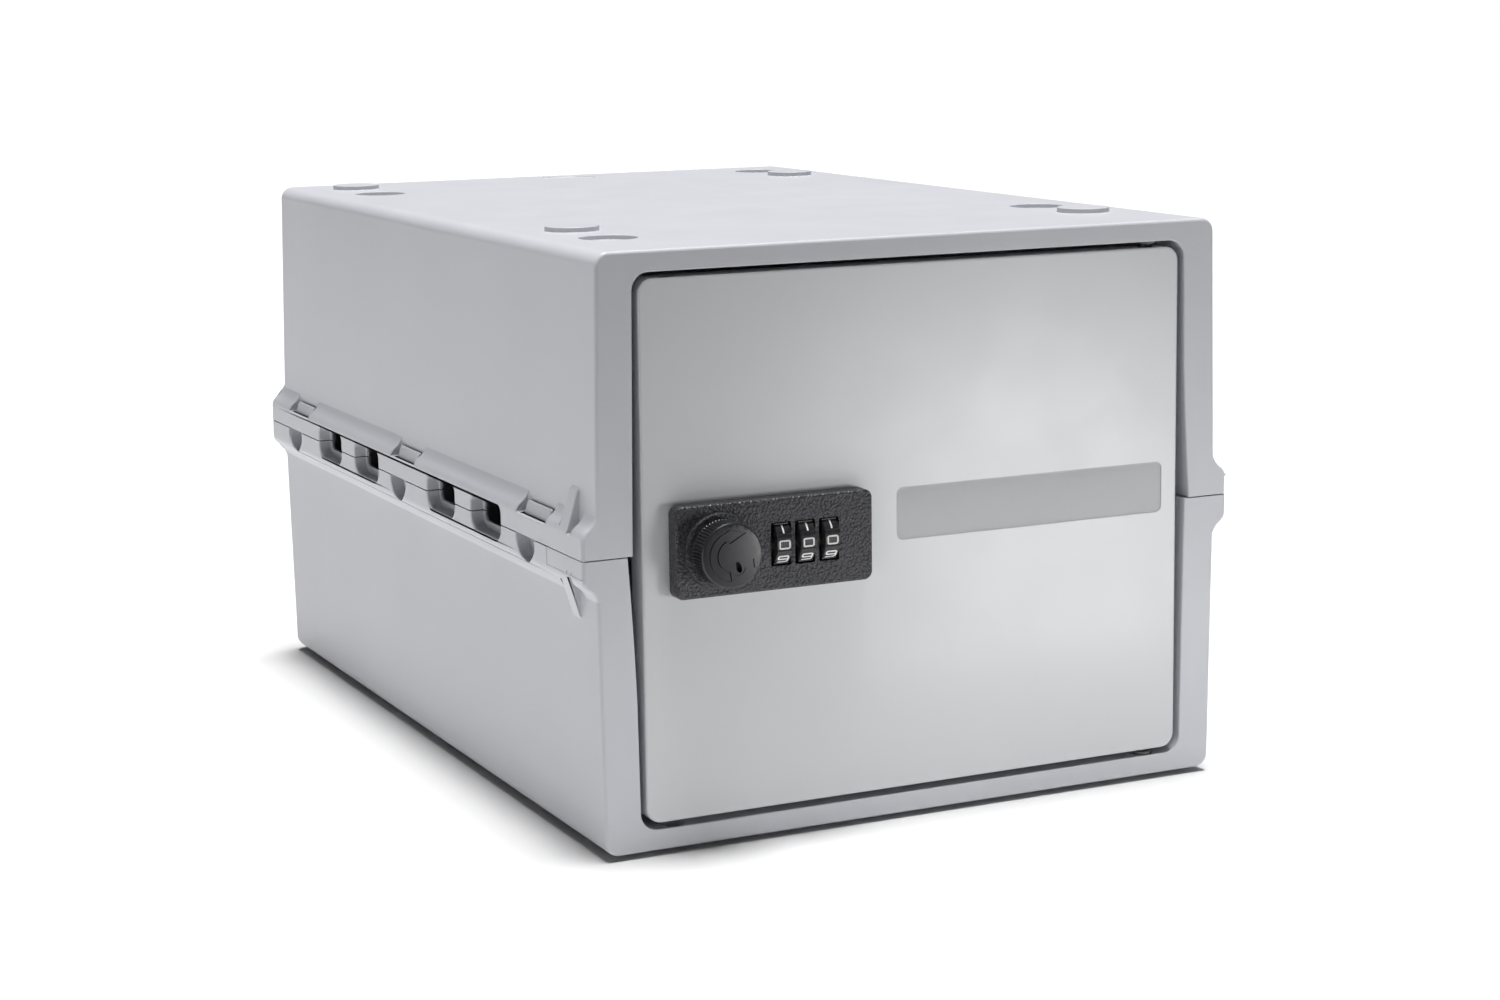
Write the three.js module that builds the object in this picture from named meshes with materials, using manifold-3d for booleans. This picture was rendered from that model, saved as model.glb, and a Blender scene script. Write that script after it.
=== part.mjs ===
// A lockable storage box of moulded plastic, in millimetres.
//
// Two identical half shells snap together at a seam halfway up: the lower one is the upper
// one turned half a turn about the Y axis. A flush door on two hinge pins closes the front,
// and a three-dial combination cam lock on the door catches behind the left jamb.
//
// X is the width, Y runs from the door to the back and Z is up. Everything is drawn about the
// middle of the seam, and the last lines put the origin on the ground under the box's middle.

import * as THREE from 'three';
import { mergeVertices } from 'three/addons/utils/BufferGeometryUtils.js';
import Module from 'manifold-3d';

const wasm = await Module();
wasm.setup();

// ---- driving dimensions ----------------------------------------------------------------

const GAP = 0.3;                  // clearance between pieces that touch

// Half shells
const DEPTH = 295;
const FRONT = -DEPTH / 2;
const BACK = DEPTH / 2;
const HALF_HEIGHT = 84;
const HALF_WIDTH = 101.1;         // at the seam
const SIDE_DRAFT = 1.35;          // how far a side wall leans in over its height
const BACK_DRAFT = 1.2;
const WALL = 2.6;
const TOP_WALL = 2.8;
const SEAM = GAP / 2;             // each half starts this far from the seam
const CROWN_RADIUS = 4;           // long top edges
const CROWN_STEPS = 3;
const BACK_RADIUS = 5;
const FRONT_RADIUS = 1;
const OPENING_HALF_WIDTH = 90.2;  // at the seam
const OPENING_TOP = 77.9;
const OPENING_RADIUS = 5;
const OPENING_FLARE = 1.5;        // the right jamb flares out towards the seam
const FLARE_TOP = 40;
const LIP = 2.2;                  // thickness of the lip around the opening
const LIP_BACK = FRONT + 13.3;

// Side rails with their snaps and vents
const RAIL_ROOT = HALF_WIDTH - WALL / 2;
const RAIL_OUTER = 105.25;
const RAIL_BEYOND = RAIL_OUTER + 2;
const RAIL_SHOULDER = 5.2;
const RAIL_CREST = 12.3;
const RAIL_BACK = BACK - 2.5;
const RAIL_MIDDLE = 2;            // the rail's pattern is centred just behind the box's middle
const SNAP_PITCH = 111;
const NOTCH_LENGTH = 22.6;
const NOTCH_FLOOR = 5.8;
const POCKET_OUTER = 103.7;
const TONGUE_LENGTH = 18;
const TONGUE_INNER = 101.5;
const TONGUE_OUTER = 103.2;
const TONGUE_REACH = 9.6;
const SLOT_WIDTH = 14.4;
const SLOT_TOP = 7.3;
const SLOT_SHIFT = (NOTCH_LENGTH - SLOT_WIDTH) / 2;
const VENT_OFFSETS = [-75, -36, 36, 75];
const VENT_LENGTH = 25;
const VENT_TOP = 5.6;
const VENT_BACK = HALF_WIDTH - 2 * WALL;
const VENT_STEP = 1;              // the hole in the wall is this much shorter at each end
const VENT_POCKET = { outer: 100.2, spread: 2, top: 2 };
const NOTCHED_VENT = { radius: 2, wallTop: 5, wallRadius: 1.6 };
const TONGUED_VENT = { radius: 4.4, wallTop: 2.8, wallRadius: 2.6 };
const FIN_BACK = FRONT + 17;
const FIN_FRONT = FRONT + 11.5;
const FIN_TOP = 18.4;
const BLOCK_BACK = FRONT + 8.5;

// Stacking discs, as [x, y] on the upper shell
const DISC_RADIUS = 8;
const DISC_HEIGHT = 1.5;
const SOCKET_RADIUS = 8.5;
const SOCKET_DEPTH = 1.4;
const DISC_X = 79;
const RAISED = [[-DISC_X, -81], [DISC_X, -108], [-DISC_X, 120], [DISC_X, 93]];
const SUNKEN = [[-DISC_X, -108], [DISC_X, -81], [-DISC_X, 93], [DISC_X, 120]];
const GATE = { x: 3, y: 129, radius: 12, depth: 0.4 };

// Door and its hinge
const DOOR = { left: -87.4, right: 87.2, bottom: -76.1, top: 76.2, radius: 4.5, edge: 1.6 };
const DOOR_SKIN = 2.8;
const DOOR_RIM = 8;
const RIM_WALL = 2.2;
const RIB = 1.6;
const RIB_HEIGHT = 6;
const HINGE_X = 78;
const HINGE_Y = FRONT + DOOR_RIM / 2;
const PIN_RADIUS = 1.9;
const PIN_TOP = 80;
const PIN_LENGTH = 18;
const BUSH_RADIUS = 2.9;
const BOSS_BOTTOM = 76.8;
const BOSS_HALF_WIDTH = 7;
const BOSS_FRONT = FRONT + 1.5;
const BOSS_BACK = HINGE_Y + 5.5;
const LUG_HALF_WIDTH = 5;
const BUSH_LENGTH = 3.2;
const RIB_X = [8, 44];
const RIB_Z = [-38, 38];
const LABEL = { left: -8.1, right: 81.8, bottom: -3.3, top: 12, radius: 2, depth: 0.35 };

// Combination lock
const LOCK_Z = 0.4;
const PLATE = { left: -79.6, right: -18.6, height: 26, radius: 2.5, edge: 0.8 };
const PLATE_FRONT = FRONT - 5;
const PLATE_BACK = FRONT - GAP;
const DIAL_X = [-47.2, -39.7, -32.2];
const DIAL_NAMES = ['left', 'middle', 'right'];
const DIAL_RADIUS = 7.5;
const DIAL_WIDTH = 5;
const DIAL_PROUD = 2;             // the dials stand out of the face plate
const DIAL_Y = PLATE_FRONT - DIAL_PROUD + DIAL_RADIUS;
const SLEEVE_RADIUS = 4;
const SLEEVE_WIDTH = 6.9;
const AXLE_RADIUS = 1.5;
const CHEEK_X = [DIAL_X[0] - 5.3, DIAL_X[2] + 5.7];
const AXLE_LEFT = CHEEK_X[0] - 1.4;
const AXLE_RIGHT = CHEEK_X[1] + 1.4;
const CHEEK = 1.6;
const CHEEK_FRONT = FRONT + 0.4;
const CHEEK_BACK = DIAL_Y + 5;
const WINDOW_WIDTH = 6.2;
const WINDOW_HEIGHT = 12.3;
const WINDOW_SHIFT = -0.3;        // each window is a little wider on its left
const WINDOW_RADIUS = 0.5;
const HOUSING = { left: -77.1, right: -21.1, height: 21, wall: 1.6 };
const FLANGE = { wider: 2.8, thickness: 1.6, radius: 2 };
const HOUSING_BACK = FRONT + 14.5;
const KNOB_X = -66.6;
const KNOB_RADIUS = 9.1;
const KNOB_BACK = PLATE_FRONT - 1.7;
const KNOB_FRONT = PLATE_FRONT - 9;
const KNOB_RIBS = 24;
const KNOB_RIB_DEPTH = 0.5;
const KNOB_FACE = 1.6;
const FINDER = { x: 1.7, z: -3.3, radius: 0.8, depth: 1.5 };
const COLLAR_RADIUS = 10.6;
const COLLAR_HEIGHT = 1.4;
const SPINDLE_RADIUS = 3.2;
const SPINDLE_SQUARE = SPINDLE_RADIUS * 0.68;   // half the side of its squared end
const CAM_FRONT = HOUSING_BACK + 0.6;
const CAM = { thickness: 2, reach: 30, hub: 6.5, width: 12, hubRadius: 5.5, tipRadius: 2 };
const CAM_BACK = CAM_FRONT + CAM.thickness;
const WASHER = { radius: 4.8, bore: 1.5, thickness: 0.8 };
const CAM_SCREW = { head: 3, height: 1.8, shank: 1.1, tapping: 1.4, slot: 0.7 };
const SCREWS = [{ x: -56.2, z: -6.6 }, { x: -24.4, z: 7.2 }];
const SCREW_RADIUS = 1.2;
const SCREW_HEAD_RADIUS = 2.4;
const SCREW_HEAD = 1.3;
const SCREW_SLOT = 0.5;
const POST_RADIUS = SCREW_RADIUS + 1.3;
const SPRING = { thickness: 0.4, fingerHalf: 1.2, overhang: 2 };
const FENCE_FRONT = DIAL_Y + DIAL_RADIUS + 1;
const FENCE = { thickness: 1.2, half: 2.4, tooth: 0.5, toothHalf: 0.8, well: 2 };
const FENCE_BACK = FENCE_FRONT + FENCE.thickness;
const LEVER_X = DIAL_X[1];
const LEVER = { disc: 3, arm: 1.2, reach: 7, stem: 1.4, thickness: 1.2, slot: 0.35, slotHalf: 2.4 };
const LEVER_FRONT = HOUSING_BACK + GAP;

// ---- solids ----------------------------------------------------------------------------

function toManifold(geometry) {
  const bare = geometry.clone();
  bare.deleteAttribute('normal');
  bare.deleteAttribute('uv');
  const merged = mergeVertices(bare);
  const mesh = new wasm.Mesh({
    numProp: 3,
    vertProperties: new Float32Array(merged.attributes.position.array),
    triVerts: new Uint32Array(merged.index.array),
  });
  return new wasm.Manifold(mesh);
}

function toGeometry(manifold) {
  const mesh = manifold.getMesh();
  const geometry = new THREE.BufferGeometry();
  const positions = new Float32Array(mesh.vertProperties);
  geometry.setAttribute('position', new THREE.BufferAttribute(positions, 3));
  geometry.setIndex(new THREE.BufferAttribute(new Uint32Array(mesh.triVerts), 1));
  geometry.computeVertexNormals();
  return geometry;
}

// A moulding's draft: the sides and the back lean in as z rises.
function draft(geometry) {
  const position = geometry.attributes.position;
  for (let i = 0; i < position.count; i += 1) {
    const rise = position.getZ(i) / HALF_HEIGHT;
    const back = (position.getY(i) - FRONT) / DEPTH;
    position.setX(i, position.getX(i) * (1 - (SIDE_DRAFT / HALF_WIDTH) * rise));
    position.setY(i, position.getY(i) - BACK_DRAFT * rise * back);
  }
  return geometry;
}

// An outline in (x, z), pushed along Y.
function alongY(shape, front, back, bevel = 0) {
  const geometry = new THREE.ExtrudeGeometry(shape, {
    depth: back - front - 2 * bevel,
    bevelEnabled: bevel > 0,
    bevelThickness: bevel,
    bevelSize: bevel,
    bevelOffset: -bevel,
    bevelSegments: 2,
    curveSegments: 3,
  });
  geometry.rotateX(Math.PI / 2);
  geometry.translate(0, back - bevel, 0);
  return geometry;
}

// An outline in (y, z), pushed along X.
function alongX(shape, left, right) {
  const options = { depth: right - left, bevelEnabled: false, curveSegments: 3 };
  const geometry = new THREE.ExtrudeGeometry(shape, options);
  const turn = new THREE.Matrix4().makeBasis(
    new THREE.Vector3(0, 1, 0),
    new THREE.Vector3(0, 0, 1),
    new THREE.Vector3(1, 0, 0),
  );
  geometry.applyMatrix4(turn);
  geometry.translate(left, 0, 0);
  return geometry;
}

// A rectangle whose corners are rounded: radii go bottom-left, bottom-right, top-right, top-left.
function rectangle(left, bottom, right, top, radii) {
  const [bl, br, tr, tl] = Array.isArray(radii) ? radii : [radii, radii, radii, radii];
  const shape = new THREE.Shape();
  shape.moveTo(left + bl, bottom);
  shape.lineTo(right - br, bottom);
  if (br > 0) shape.absarc(right - br, bottom + br, br, -Math.PI / 2, 0);
  shape.lineTo(right, top - tr);
  if (tr > 0) shape.absarc(right - tr, top - tr, tr, 0, Math.PI / 2);
  shape.lineTo(left + tl, top);
  if (tl > 0) shape.absarc(left + tl, top - tl, tl, Math.PI / 2, Math.PI);
  shape.lineTo(left, bottom + bl);
  if (bl > 0) shape.absarc(left + bl, bottom + bl, bl, Math.PI, 1.5 * Math.PI);
  return shape;
}

function block(left, front, bottom, right, back, top) {
  const geometry = new THREE.BoxGeometry(right - left, back - front, top - bottom);
  geometry.translate((left + right) / 2, (front + back) / 2, (bottom + top) / 2);
  return toManifold(geometry);
}

function rodX(y, z, radius, left, right, sides = 20) {
  const geometry = new THREE.CylinderGeometry(radius, radius, right - left, sides);
  geometry.rotateZ(Math.PI / 2);
  geometry.translate((left + right) / 2, y, z);
  return toManifold(geometry);
}

function rodY(x, z, radius, front, back, sides = 20) {
  const geometry = new THREE.CylinderGeometry(radius, radius, back - front, sides);
  geometry.translate(x, (front + back) / 2, z);
  return toManifold(geometry);
}

function rodZ(x, y, radius, bottom, top, sides = 20) {
  const geometry = new THREE.CylinderGeometry(radius, radius, top - bottom, sides);
  geometry.rotateX(Math.PI / 2);
  geometry.translate(x, y, (bottom + top) / 2);
  return toManifold(geometry);
}

function joined(solids) {
  return solids.reduce((sum, solid) => sum.add(solid));
}

// ---- half shell ------------------------------------------------------------------------

// A stack of convex outlines, each with as many points, closed at both ends.
function loft(rings) {
  const count = rings[0].points.length;
  const positions = rings.flatMap(({ points, z }) => points.flatMap((point) => [point.x, point.y, z]));
  const faces = [];
  for (let ring = 0; ring < rings.length - 1; ring += 1) {
    for (let i = 0; i < count; i += 1) {
      const here = ring * count + i;
      const next = ring * count + ((i + 1) % count);
      faces.push(here, next, next + count, here, next + count, here + count);
    }
  }
  const last = (rings.length - 1) * count;
  for (let i = 1; i < count - 1; i += 1) {
    faces.push(0, i + 1, i, last, last + i, last + i + 1);
  }
  const geometry = new THREE.BufferGeometry();
  geometry.setAttribute('position', new THREE.Float32BufferAttribute(positions, 3));
  geometry.setIndex(faces);
  return geometry;
}

// A drafted block whose crown, back and front edges are rounded.
function shellBlank(inset, bottom, top, crown, back, front) {
  const ring = (z) => {
    const fromCrown = Math.max(0, z - (top - crown)) / crown;
    const fromFront = Math.max(0, z - (top - front)) / front;
    const sideInset = inset + crown * (1 - Math.sqrt(1 - fromCrown ** 2));
    const frontInset = inset + front * (1 - Math.sqrt(1 - fromFront ** 2));
    const backRadius = Math.max(0.5, back - (sideInset - inset));
    const outline = rectangle(
      -HALF_WIDTH + sideInset, FRONT + frontInset, HALF_WIDTH - sideInset, BACK - sideInset,
      [front, front, backRadius, backRadius],
    );
    return { points: outline.getPoints(3).slice(0, -1), z };
  };
  const rings = [ring(bottom)];
  for (let step = 0; step <= CROWN_STEPS; step += 1) {
    rings.push(ring(top - crown + crown * Math.sin((step / CROWN_STEPS) * (Math.PI / 2))));
  }
  return toManifold(draft(loft(rings)));
}

// The doorway, whose right jamb flares out towards the seam to let the door's edge swing.
function openingShape() {
  const flared = OPENING_HALF_WIDTH + OPENING_FLARE;
  const shape = new THREE.Shape();
  shape.moveTo(-OPENING_HALF_WIDTH, -WALL);
  shape.lineTo(flared, -WALL);
  shape.lineTo(flared, SEAM);
  shape.quadraticCurveTo(OPENING_HALF_WIDTH + 0.4, FLARE_TOP / 2, OPENING_HALF_WIDTH, FLARE_TOP);
  shape.lineTo(OPENING_HALF_WIDTH, OPENING_TOP - OPENING_RADIUS);
  shape.absarc(
    OPENING_HALF_WIDTH - OPENING_RADIUS, OPENING_TOP - OPENING_RADIUS, OPENING_RADIUS, 0, Math.PI / 2,
  );
  shape.lineTo(-OPENING_HALF_WIDTH + OPENING_RADIUS, OPENING_TOP);
  shape.absarc(
    -OPENING_HALF_WIDTH + OPENING_RADIUS, OPENING_TOP - OPENING_RADIUS, OPENING_RADIUS, Math.PI / 2, Math.PI,
  );
  return shape;
}

function shellTray() {
  const outer = shellBlank(0, SEAM, HALF_HEIGHT, CROWN_RADIUS, BACK_RADIUS, FRONT_RADIUS);
  const inner = shellBlank(WALL, -WALL, HALF_HEIGHT - TOP_WALL, 2, 3, 0.6);
  const lipOutline = rectangle(
    -OPENING_HALF_WIDTH - LIP, SEAM, OPENING_HALF_WIDTH + OPENING_FLARE + LIP, OPENING_TOP + LIP,
    [0, 0, OPENING_RADIUS, OPENING_RADIUS],
  );
  const lip = toManifold(draft(alongY(lipOutline, FRONT + FRONT_RADIUS, LIP_BACK)));
  const opening = toManifold(draft(alongY(openingShape(), FRONT - WALL, LIP_BACK + WALL)));
  return outer.subtract(inner).add(lip).subtract(opening);
}

// Hinge bosses stand under the header at both corners.
function hingeBosses() {
  return joined([-HINGE_X, HINGE_X].map((x) => {
    const outline = rectangle(
      x - BOSS_HALF_WIDTH, BOSS_BOTTOM, x + BOSS_HALF_WIDTH, HALF_HEIGHT - TOP_WALL / 2,
      [0.8, 0.8, 0, 0],
    );
    return toManifold(alongY(outline, BOSS_FRONT, BOSS_BACK));
  }));
}

// Each boss has a blind hole for a bush.
function bushHoles() {
  return joined([-HINGE_X, HINGE_X].map((x) => (
    rodZ(x, HINGE_Y, BUSH_RADIUS + GAP, BOSS_BOTTOM - 1, PIN_TOP + 0.8, 16)
  )));
}

// The rail's section, from inside the wall out to the shoulder and up to its crest.
function railShape(side) {
  const shape = new THREE.Shape();
  shape.moveTo(side * RAIL_ROOT, SEAM);
  shape.lineTo(side * RAIL_OUTER, SEAM);
  shape.lineTo(side * RAIL_OUTER, RAIL_SHOULDER);
  shape.quadraticCurveTo(
    side * RAIL_OUTER, RAIL_SHOULDER + 2, side * (RAIL_OUTER - 1.4), RAIL_SHOULDER + 3.1,
  );
  shape.quadraticCurveTo(side * (HALF_WIDTH + 0.5), RAIL_CREST - 2.6, side * (HALF_WIDTH - 0.3), RAIL_CREST);
  shape.lineTo(side * RAIL_ROOT, RAIL_CREST);
  return shape;
}

function finShape(side) {
  const shape = new THREE.Shape();
  shape.moveTo(side * RAIL_ROOT, RAIL_SHOULDER);
  shape.lineTo(side * (RAIL_OUTER - 0.2), RAIL_SHOULDER);
  shape.lineTo(side * (RAIL_OUTER - 0.5), RAIL_SHOULDER + 2);
  shape.lineTo(side * (HALF_WIDTH + 0.5), FIN_TOP - 0.6);
  shape.lineTo(side * (HALF_WIDTH - 0.6), FIN_TOP);
  shape.lineTo(side * RAIL_ROOT, FIN_TOP);
  return shape;
}

function tongueShape(side) {
  const shape = new THREE.Shape();
  shape.moveTo(side * TONGUE_INNER, RAIL_SHOULDER);
  shape.lineTo(side * TONGUE_OUTER, RAIL_SHOULDER);
  shape.lineTo(side * TONGUE_OUTER, -TONGUE_REACH + 3.4);
  shape.lineTo(side * (TONGUE_OUTER - 0.9), -TONGUE_REACH + 0.4);
  shape.lineTo(side * TONGUE_INNER, -TONGUE_REACH);
  return shape;
}

function sideBlock(side, inner, front, bottom, outer, back, top) {
  const left = side > 0 ? inner : -outer;
  const right = side > 0 ? outer : -inner;
  return block(left, front, bottom, right, back, top);
}

// A prism of a (y, z) outline that reaches from inner to outer on one side.
function sidePrism(side, shape, inner, outer) {
  return toManifold(side > 0 ? alongX(shape, inner, outer) : alongX(shape, -outer, -inner));
}

function snapCentres() {
  return [-1, 0, 1].map((step) => RAIL_MIDDLE + step * SNAP_PITCH);
}

function railBody(side) {
  const rail = toManifold(alongY(railShape(side), FRONT + 0.2, RAIL_BACK));
  const dip = sideBlock(side, RAIL_ROOT - 1, BLOCK_BACK, NOTCH_FLOOR, RAIL_BEYOND, FIN_FRONT, FIN_TOP);
  const fin = toManifold(alongY(finShape(side), FIN_FRONT, FIN_BACK));
  return rail.subtract(dip).add(fin);
}

// The left rail is notched where the other half's tongues hook in.
function notchedRail(side) {
  const inner = RAIL_ROOT - 1;
  let rail = railBody(side);
  for (const centre of snapCentres()) {
    const front = centre - NOTCH_LENGTH / 2;
    const back = centre + NOTCH_LENGTH / 2;
    rail = rail.subtract(sideBlock(side, inner, front, NOTCH_FLOOR, RAIL_BEYOND, back, FIN_TOP));
    rail = rail.subtract(sideBlock(side, inner, front + 0.6, -1, POCKET_OUTER, back - 0.6, FIN_TOP));
  }
  return rail;
}

// The right rail carries the tongues, each beside a round-ended slot that lets it flex.
function tonguedRail(side) {
  let rail = railBody(side);
  for (const centre of snapCentres()) {
    const half = TONGUE_LENGTH / 2;
    const tongue = toManifold(alongY(tongueShape(side), centre - half, centre + half));
    const middle = centre + SLOT_SHIFT;
    const radius = SLOT_WIDTH / 2;
    const outline = rectangle(
      middle - radius, -GAP, middle + radius, SLOT_TOP,
      [0, 0, radius * 0.98, radius * 0.98],
    );
    rail = rail.add(tongue);
    rail = rail.subtract(sidePrism(side, outline, RAIL_ROOT - 1, RAIL_BEYOND));
  }
  return rail;
}

// A vent is a recess in the rail with a smaller hole in the wall behind it, where the wall is thin.
function vents(side, { radius, wallTop, wallRadius }) {
  return joined(VENT_OFFSETS.flatMap((offset) => {
    const centre = RAIL_MIDDLE + offset;
    const half = VENT_LENGTH / 2;
    const recess = rectangle(centre - half, -1, centre + half, VENT_TOP, [0, 0, radius, radius]);
    const hole = rectangle(
      centre - half + VENT_STEP, -1, centre + half - VENT_STEP, wallTop,
      [0, 0, wallRadius, wallRadius],
    );
    const pocketHalf = half + VENT_POCKET.spread;
    return [
      sidePrism(side, recess, HALF_WIDTH, RAIL_BEYOND),
      sidePrism(side, hole, VENT_BACK, RAIL_BEYOND),
      sideBlock(
        side, VENT_BACK, centre - pocketHalf, -1,
        VENT_POCKET.outer, centre + pocketHalf, VENT_TOP + VENT_POCKET.top,
      ),
    ];
  }));
}

function stackingDisc([x, y]) {
  const geometry = new THREE.CylinderGeometry(DISC_RADIUS - 0.35, DISC_RADIUS, DISC_HEIGHT + 0.5, 20);
  geometry.rotateX(Math.PI / 2);
  geometry.translate(x, y, HALF_HEIGHT + (DISC_HEIGHT - 0.5) / 2);
  return toManifold(geometry);
}

function stackingSocket([x, y]) {
  return rodZ(x, y, SOCKET_RADIUS, HALF_HEIGHT - SOCKET_DEPTH, HALF_HEIGHT + 1, 20);
}

function halfShell() {
  const gate = rodZ(GATE.x, GATE.y, GATE.radius, HALF_HEIGHT - GATE.depth, HALF_HEIGHT + 1, 20);
  const shell = shellTray()
    .add(hingeBosses())
    .subtract(bushHoles())
    .add(notchedRail(-1))
    .add(tonguedRail(1))
    .subtract(vents(-1, NOTCHED_VENT))
    .subtract(vents(1, TONGUED_VENT))
    .add(joined(RAISED.map(stackingDisc)))
    .subtract(joined(SUNKEN.map(stackingSocket)))
    .subtract(gate);
  return toGeometry(shell);
}

// ---- door ------------------------------------------------------------------------------

function doorRibs() {
  const front = FRONT + DOOR_SKIN - 0.2;
  const back = FRONT + RIB_HEIGHT;
  const half = RIB / 2;
  const upright = RIB_X.map((x) => block(x - half, front, DOOR.bottom + 1, x + half, back, DOOR.top - 1));
  const level = RIB_Z.map((z) => block(DOOR.left + 1, front, z - half, DOOR.right - 1, back, z + half));
  return joined([...upright, ...level]);
}

// The lugs that hold the pins stand behind the skin at the door's upper and lower right corners.
function hingeLug(edge) {
  const far = edge > 0 ? edge - PIN_LENGTH : edge + PIN_LENGTH;
  return block(
    HINGE_X - LUG_HALF_WIDTH, FRONT + DOOR_SKIN - 0.2, Math.min(edge, far),
    HINGE_X + LUG_HALF_WIDTH, FRONT + DOOR_RIM - 0.2, Math.max(edge, far),
  );
}

function hingeHole(sign) {
  const inner = PIN_TOP - PIN_LENGTH - GAP;
  const ends = [sign * inner, sign * (PIN_TOP + 2)];
  return rodZ(HINGE_X, HINGE_Y, PIN_RADIUS + GAP, Math.min(...ends), Math.max(...ends), 16);
}

function lockCutout() {
  const half = HOUSING.height / 2 + GAP;
  return block(
    HOUSING.left - GAP, FRONT - 1, LOCK_Z - half, HOUSING.right + GAP, FRONT + DOOR_SKIN + 1, LOCK_Z + half,
  );
}

function doorPanel() {
  const outline = rectangle(DOOR.left, DOOR.bottom, DOOR.right, DOOR.top, DOOR.radius);
  const hollow = rectangle(
    DOOR.left + RIM_WALL, DOOR.bottom + RIM_WALL, DOOR.right - RIM_WALL, DOOR.top - RIM_WALL,
    DOOR.radius - RIM_WALL,
  );
  const label = rectangle(LABEL.left, LABEL.bottom, LABEL.right, LABEL.top, LABEL.radius);
  const door = toManifold(alongY(outline, FRONT, FRONT + DOOR_RIM, DOOR.edge))
    .subtract(toManifold(alongY(hollow, FRONT + DOOR_SKIN, FRONT + DOOR_RIM + 2)))
    .add(doorRibs())
    .add(hingeLug(DOOR.top - 0.5))
    .add(hingeLug(DOOR.bottom + 0.5))
    .subtract(hingeHole(1))
    .subtract(hingeHole(-1))
    .subtract(lockCutout())
    .subtract(toManifold(alongY(label, FRONT - 1, FRONT + LABEL.depth)));
  return toGeometry(door);
}

function hingePin() {
  return toGeometry(rodZ(0, 0, PIN_RADIUS, -PIN_LENGTH, 0, 16));
}

function hingeBush() {
  const bush = rodZ(0, 0, BUSH_RADIUS, 0, BUSH_LENGTH, 16);
  return toGeometry(bush.subtract(rodZ(0, 0, PIN_RADIUS + GAP, -1, BUSH_LENGTH + 1, 16)));
}

// ---- lock ------------------------------------------------------------------------------

function screwHoles(front, back) {
  return joined(SCREWS.map((screw) => rodY(screw.x, LOCK_Z + screw.z, SCREW_RADIUS + GAP, front, back, 16)));
}

function dialWindow(x) {
  const left = x + WINDOW_SHIFT - WINDOW_WIDTH / 2;
  const right = x + WINDOW_SHIFT + WINDOW_WIDTH / 2;
  const outline = rectangle(
    left, LOCK_Z - WINDOW_HEIGHT / 2, right, LOCK_Z + WINDOW_HEIGHT / 2, WINDOW_RADIUS,
  );
  const relief = rodX(DIAL_Y, LOCK_Z, DIAL_RADIUS + GAP, left, right);
  return toManifold(alongY(outline, PLATE_FRONT - 1, FRONT + 1)).add(relief);
}

function lockFaceplate() {
  const half = PLATE.height / 2;
  const outline = rectangle(PLATE.left, LOCK_Z - half, PLATE.right, LOCK_Z + half, PLATE.radius);
  const backCut = block(
    PLATE.left - 1, PLATE_BACK, LOCK_Z - half - 1, PLATE.right + 1, FRONT + 3, LOCK_Z + half + 1,
  );
  const plate = toManifold(alongY(outline, PLATE_FRONT, PLATE_BACK + PLATE.edge, PLATE.edge))
    .subtract(backCut)
    .add(rodY(KNOB_X, LOCK_Z, COLLAR_RADIUS, PLATE_FRONT - COLLAR_HEIGHT, PLATE_FRONT + 1, 32))
    .subtract(rodY(KNOB_X, LOCK_Z, SPINDLE_RADIUS + GAP, PLATE_FRONT - 3, FRONT + 1, 16))
    .subtract(joined(DIAL_X.map(dialWindow)))
    .subtract(rodX(DIAL_Y, LOCK_Z, SLEEVE_RADIUS + GAP, CHEEK_X[0], CHEEK_X[1]))
    .subtract(rodX(DIAL_Y, LOCK_Z, AXLE_RADIUS + GAP, AXLE_LEFT - GAP, AXLE_RIGHT + GAP))
    .subtract(screwHoles(PLATE_BACK - 2.4, FRONT + 1));
  return toGeometry(plate);
}

function lockHousing() {
  const half = HOUSING.height / 2;
  const inner = half - HOUSING.wall;
  const body = block(HOUSING.left, FRONT, LOCK_Z - half, HOUSING.right, HOUSING_BACK, LOCK_Z + half);
  const flangeOutline = rectangle(
    HOUSING.left - FLANGE.wider, LOCK_Z - half - FLANGE.wider,
    HOUSING.right + FLANGE.wider, LOCK_Z + half + FLANGE.wider, FLANGE.radius,
  );
  const flangeFront = FRONT + DOOR_SKIN + GAP;
  const flange = toManifold(alongY(flangeOutline, flangeFront, flangeFront + FLANGE.thickness));
  const hollow = block(
    HOUSING.left + HOUSING.wall, FRONT - 1, LOCK_Z - inner,
    HOUSING.right - HOUSING.wall, HOUSING_BACK - HOUSING.wall, LOCK_Z + inner,
  );
  const cheeks = CHEEK_X.map((x) => block(
    x - CHEEK / 2, CHEEK_FRONT, LOCK_Z - inner - 0.2, x + CHEEK / 2, CHEEK_BACK, LOCK_Z + inner + 0.2,
  ));
  const posts = SCREWS.map((screw) => rodY(
    screw.x, LOCK_Z + screw.z, POST_RADIUS, FRONT, HOUSING_BACK - 1, 16,
  ));
  const housing = body.add(flange).subtract(hollow)
    .add(joined([...cheeks, ...posts]))
    .subtract(rodX(DIAL_Y, LOCK_Z, AXLE_RADIUS + GAP, AXLE_LEFT - GAP, AXLE_RIGHT + GAP))
    .subtract(rodY(KNOB_X, LOCK_Z, SPINDLE_RADIUS + GAP, FRONT, HOUSING_BACK + 1, 16))
    .subtract(rodY(LEVER_X, LOCK_Z, LEVER.stem + GAP, HOUSING_BACK - 3, HOUSING_BACK + 1, 16))
    .subtract(screwHoles(FRONT - 1, HOUSING_BACK + 1));
  return toGeometry(housing);
}

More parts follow.
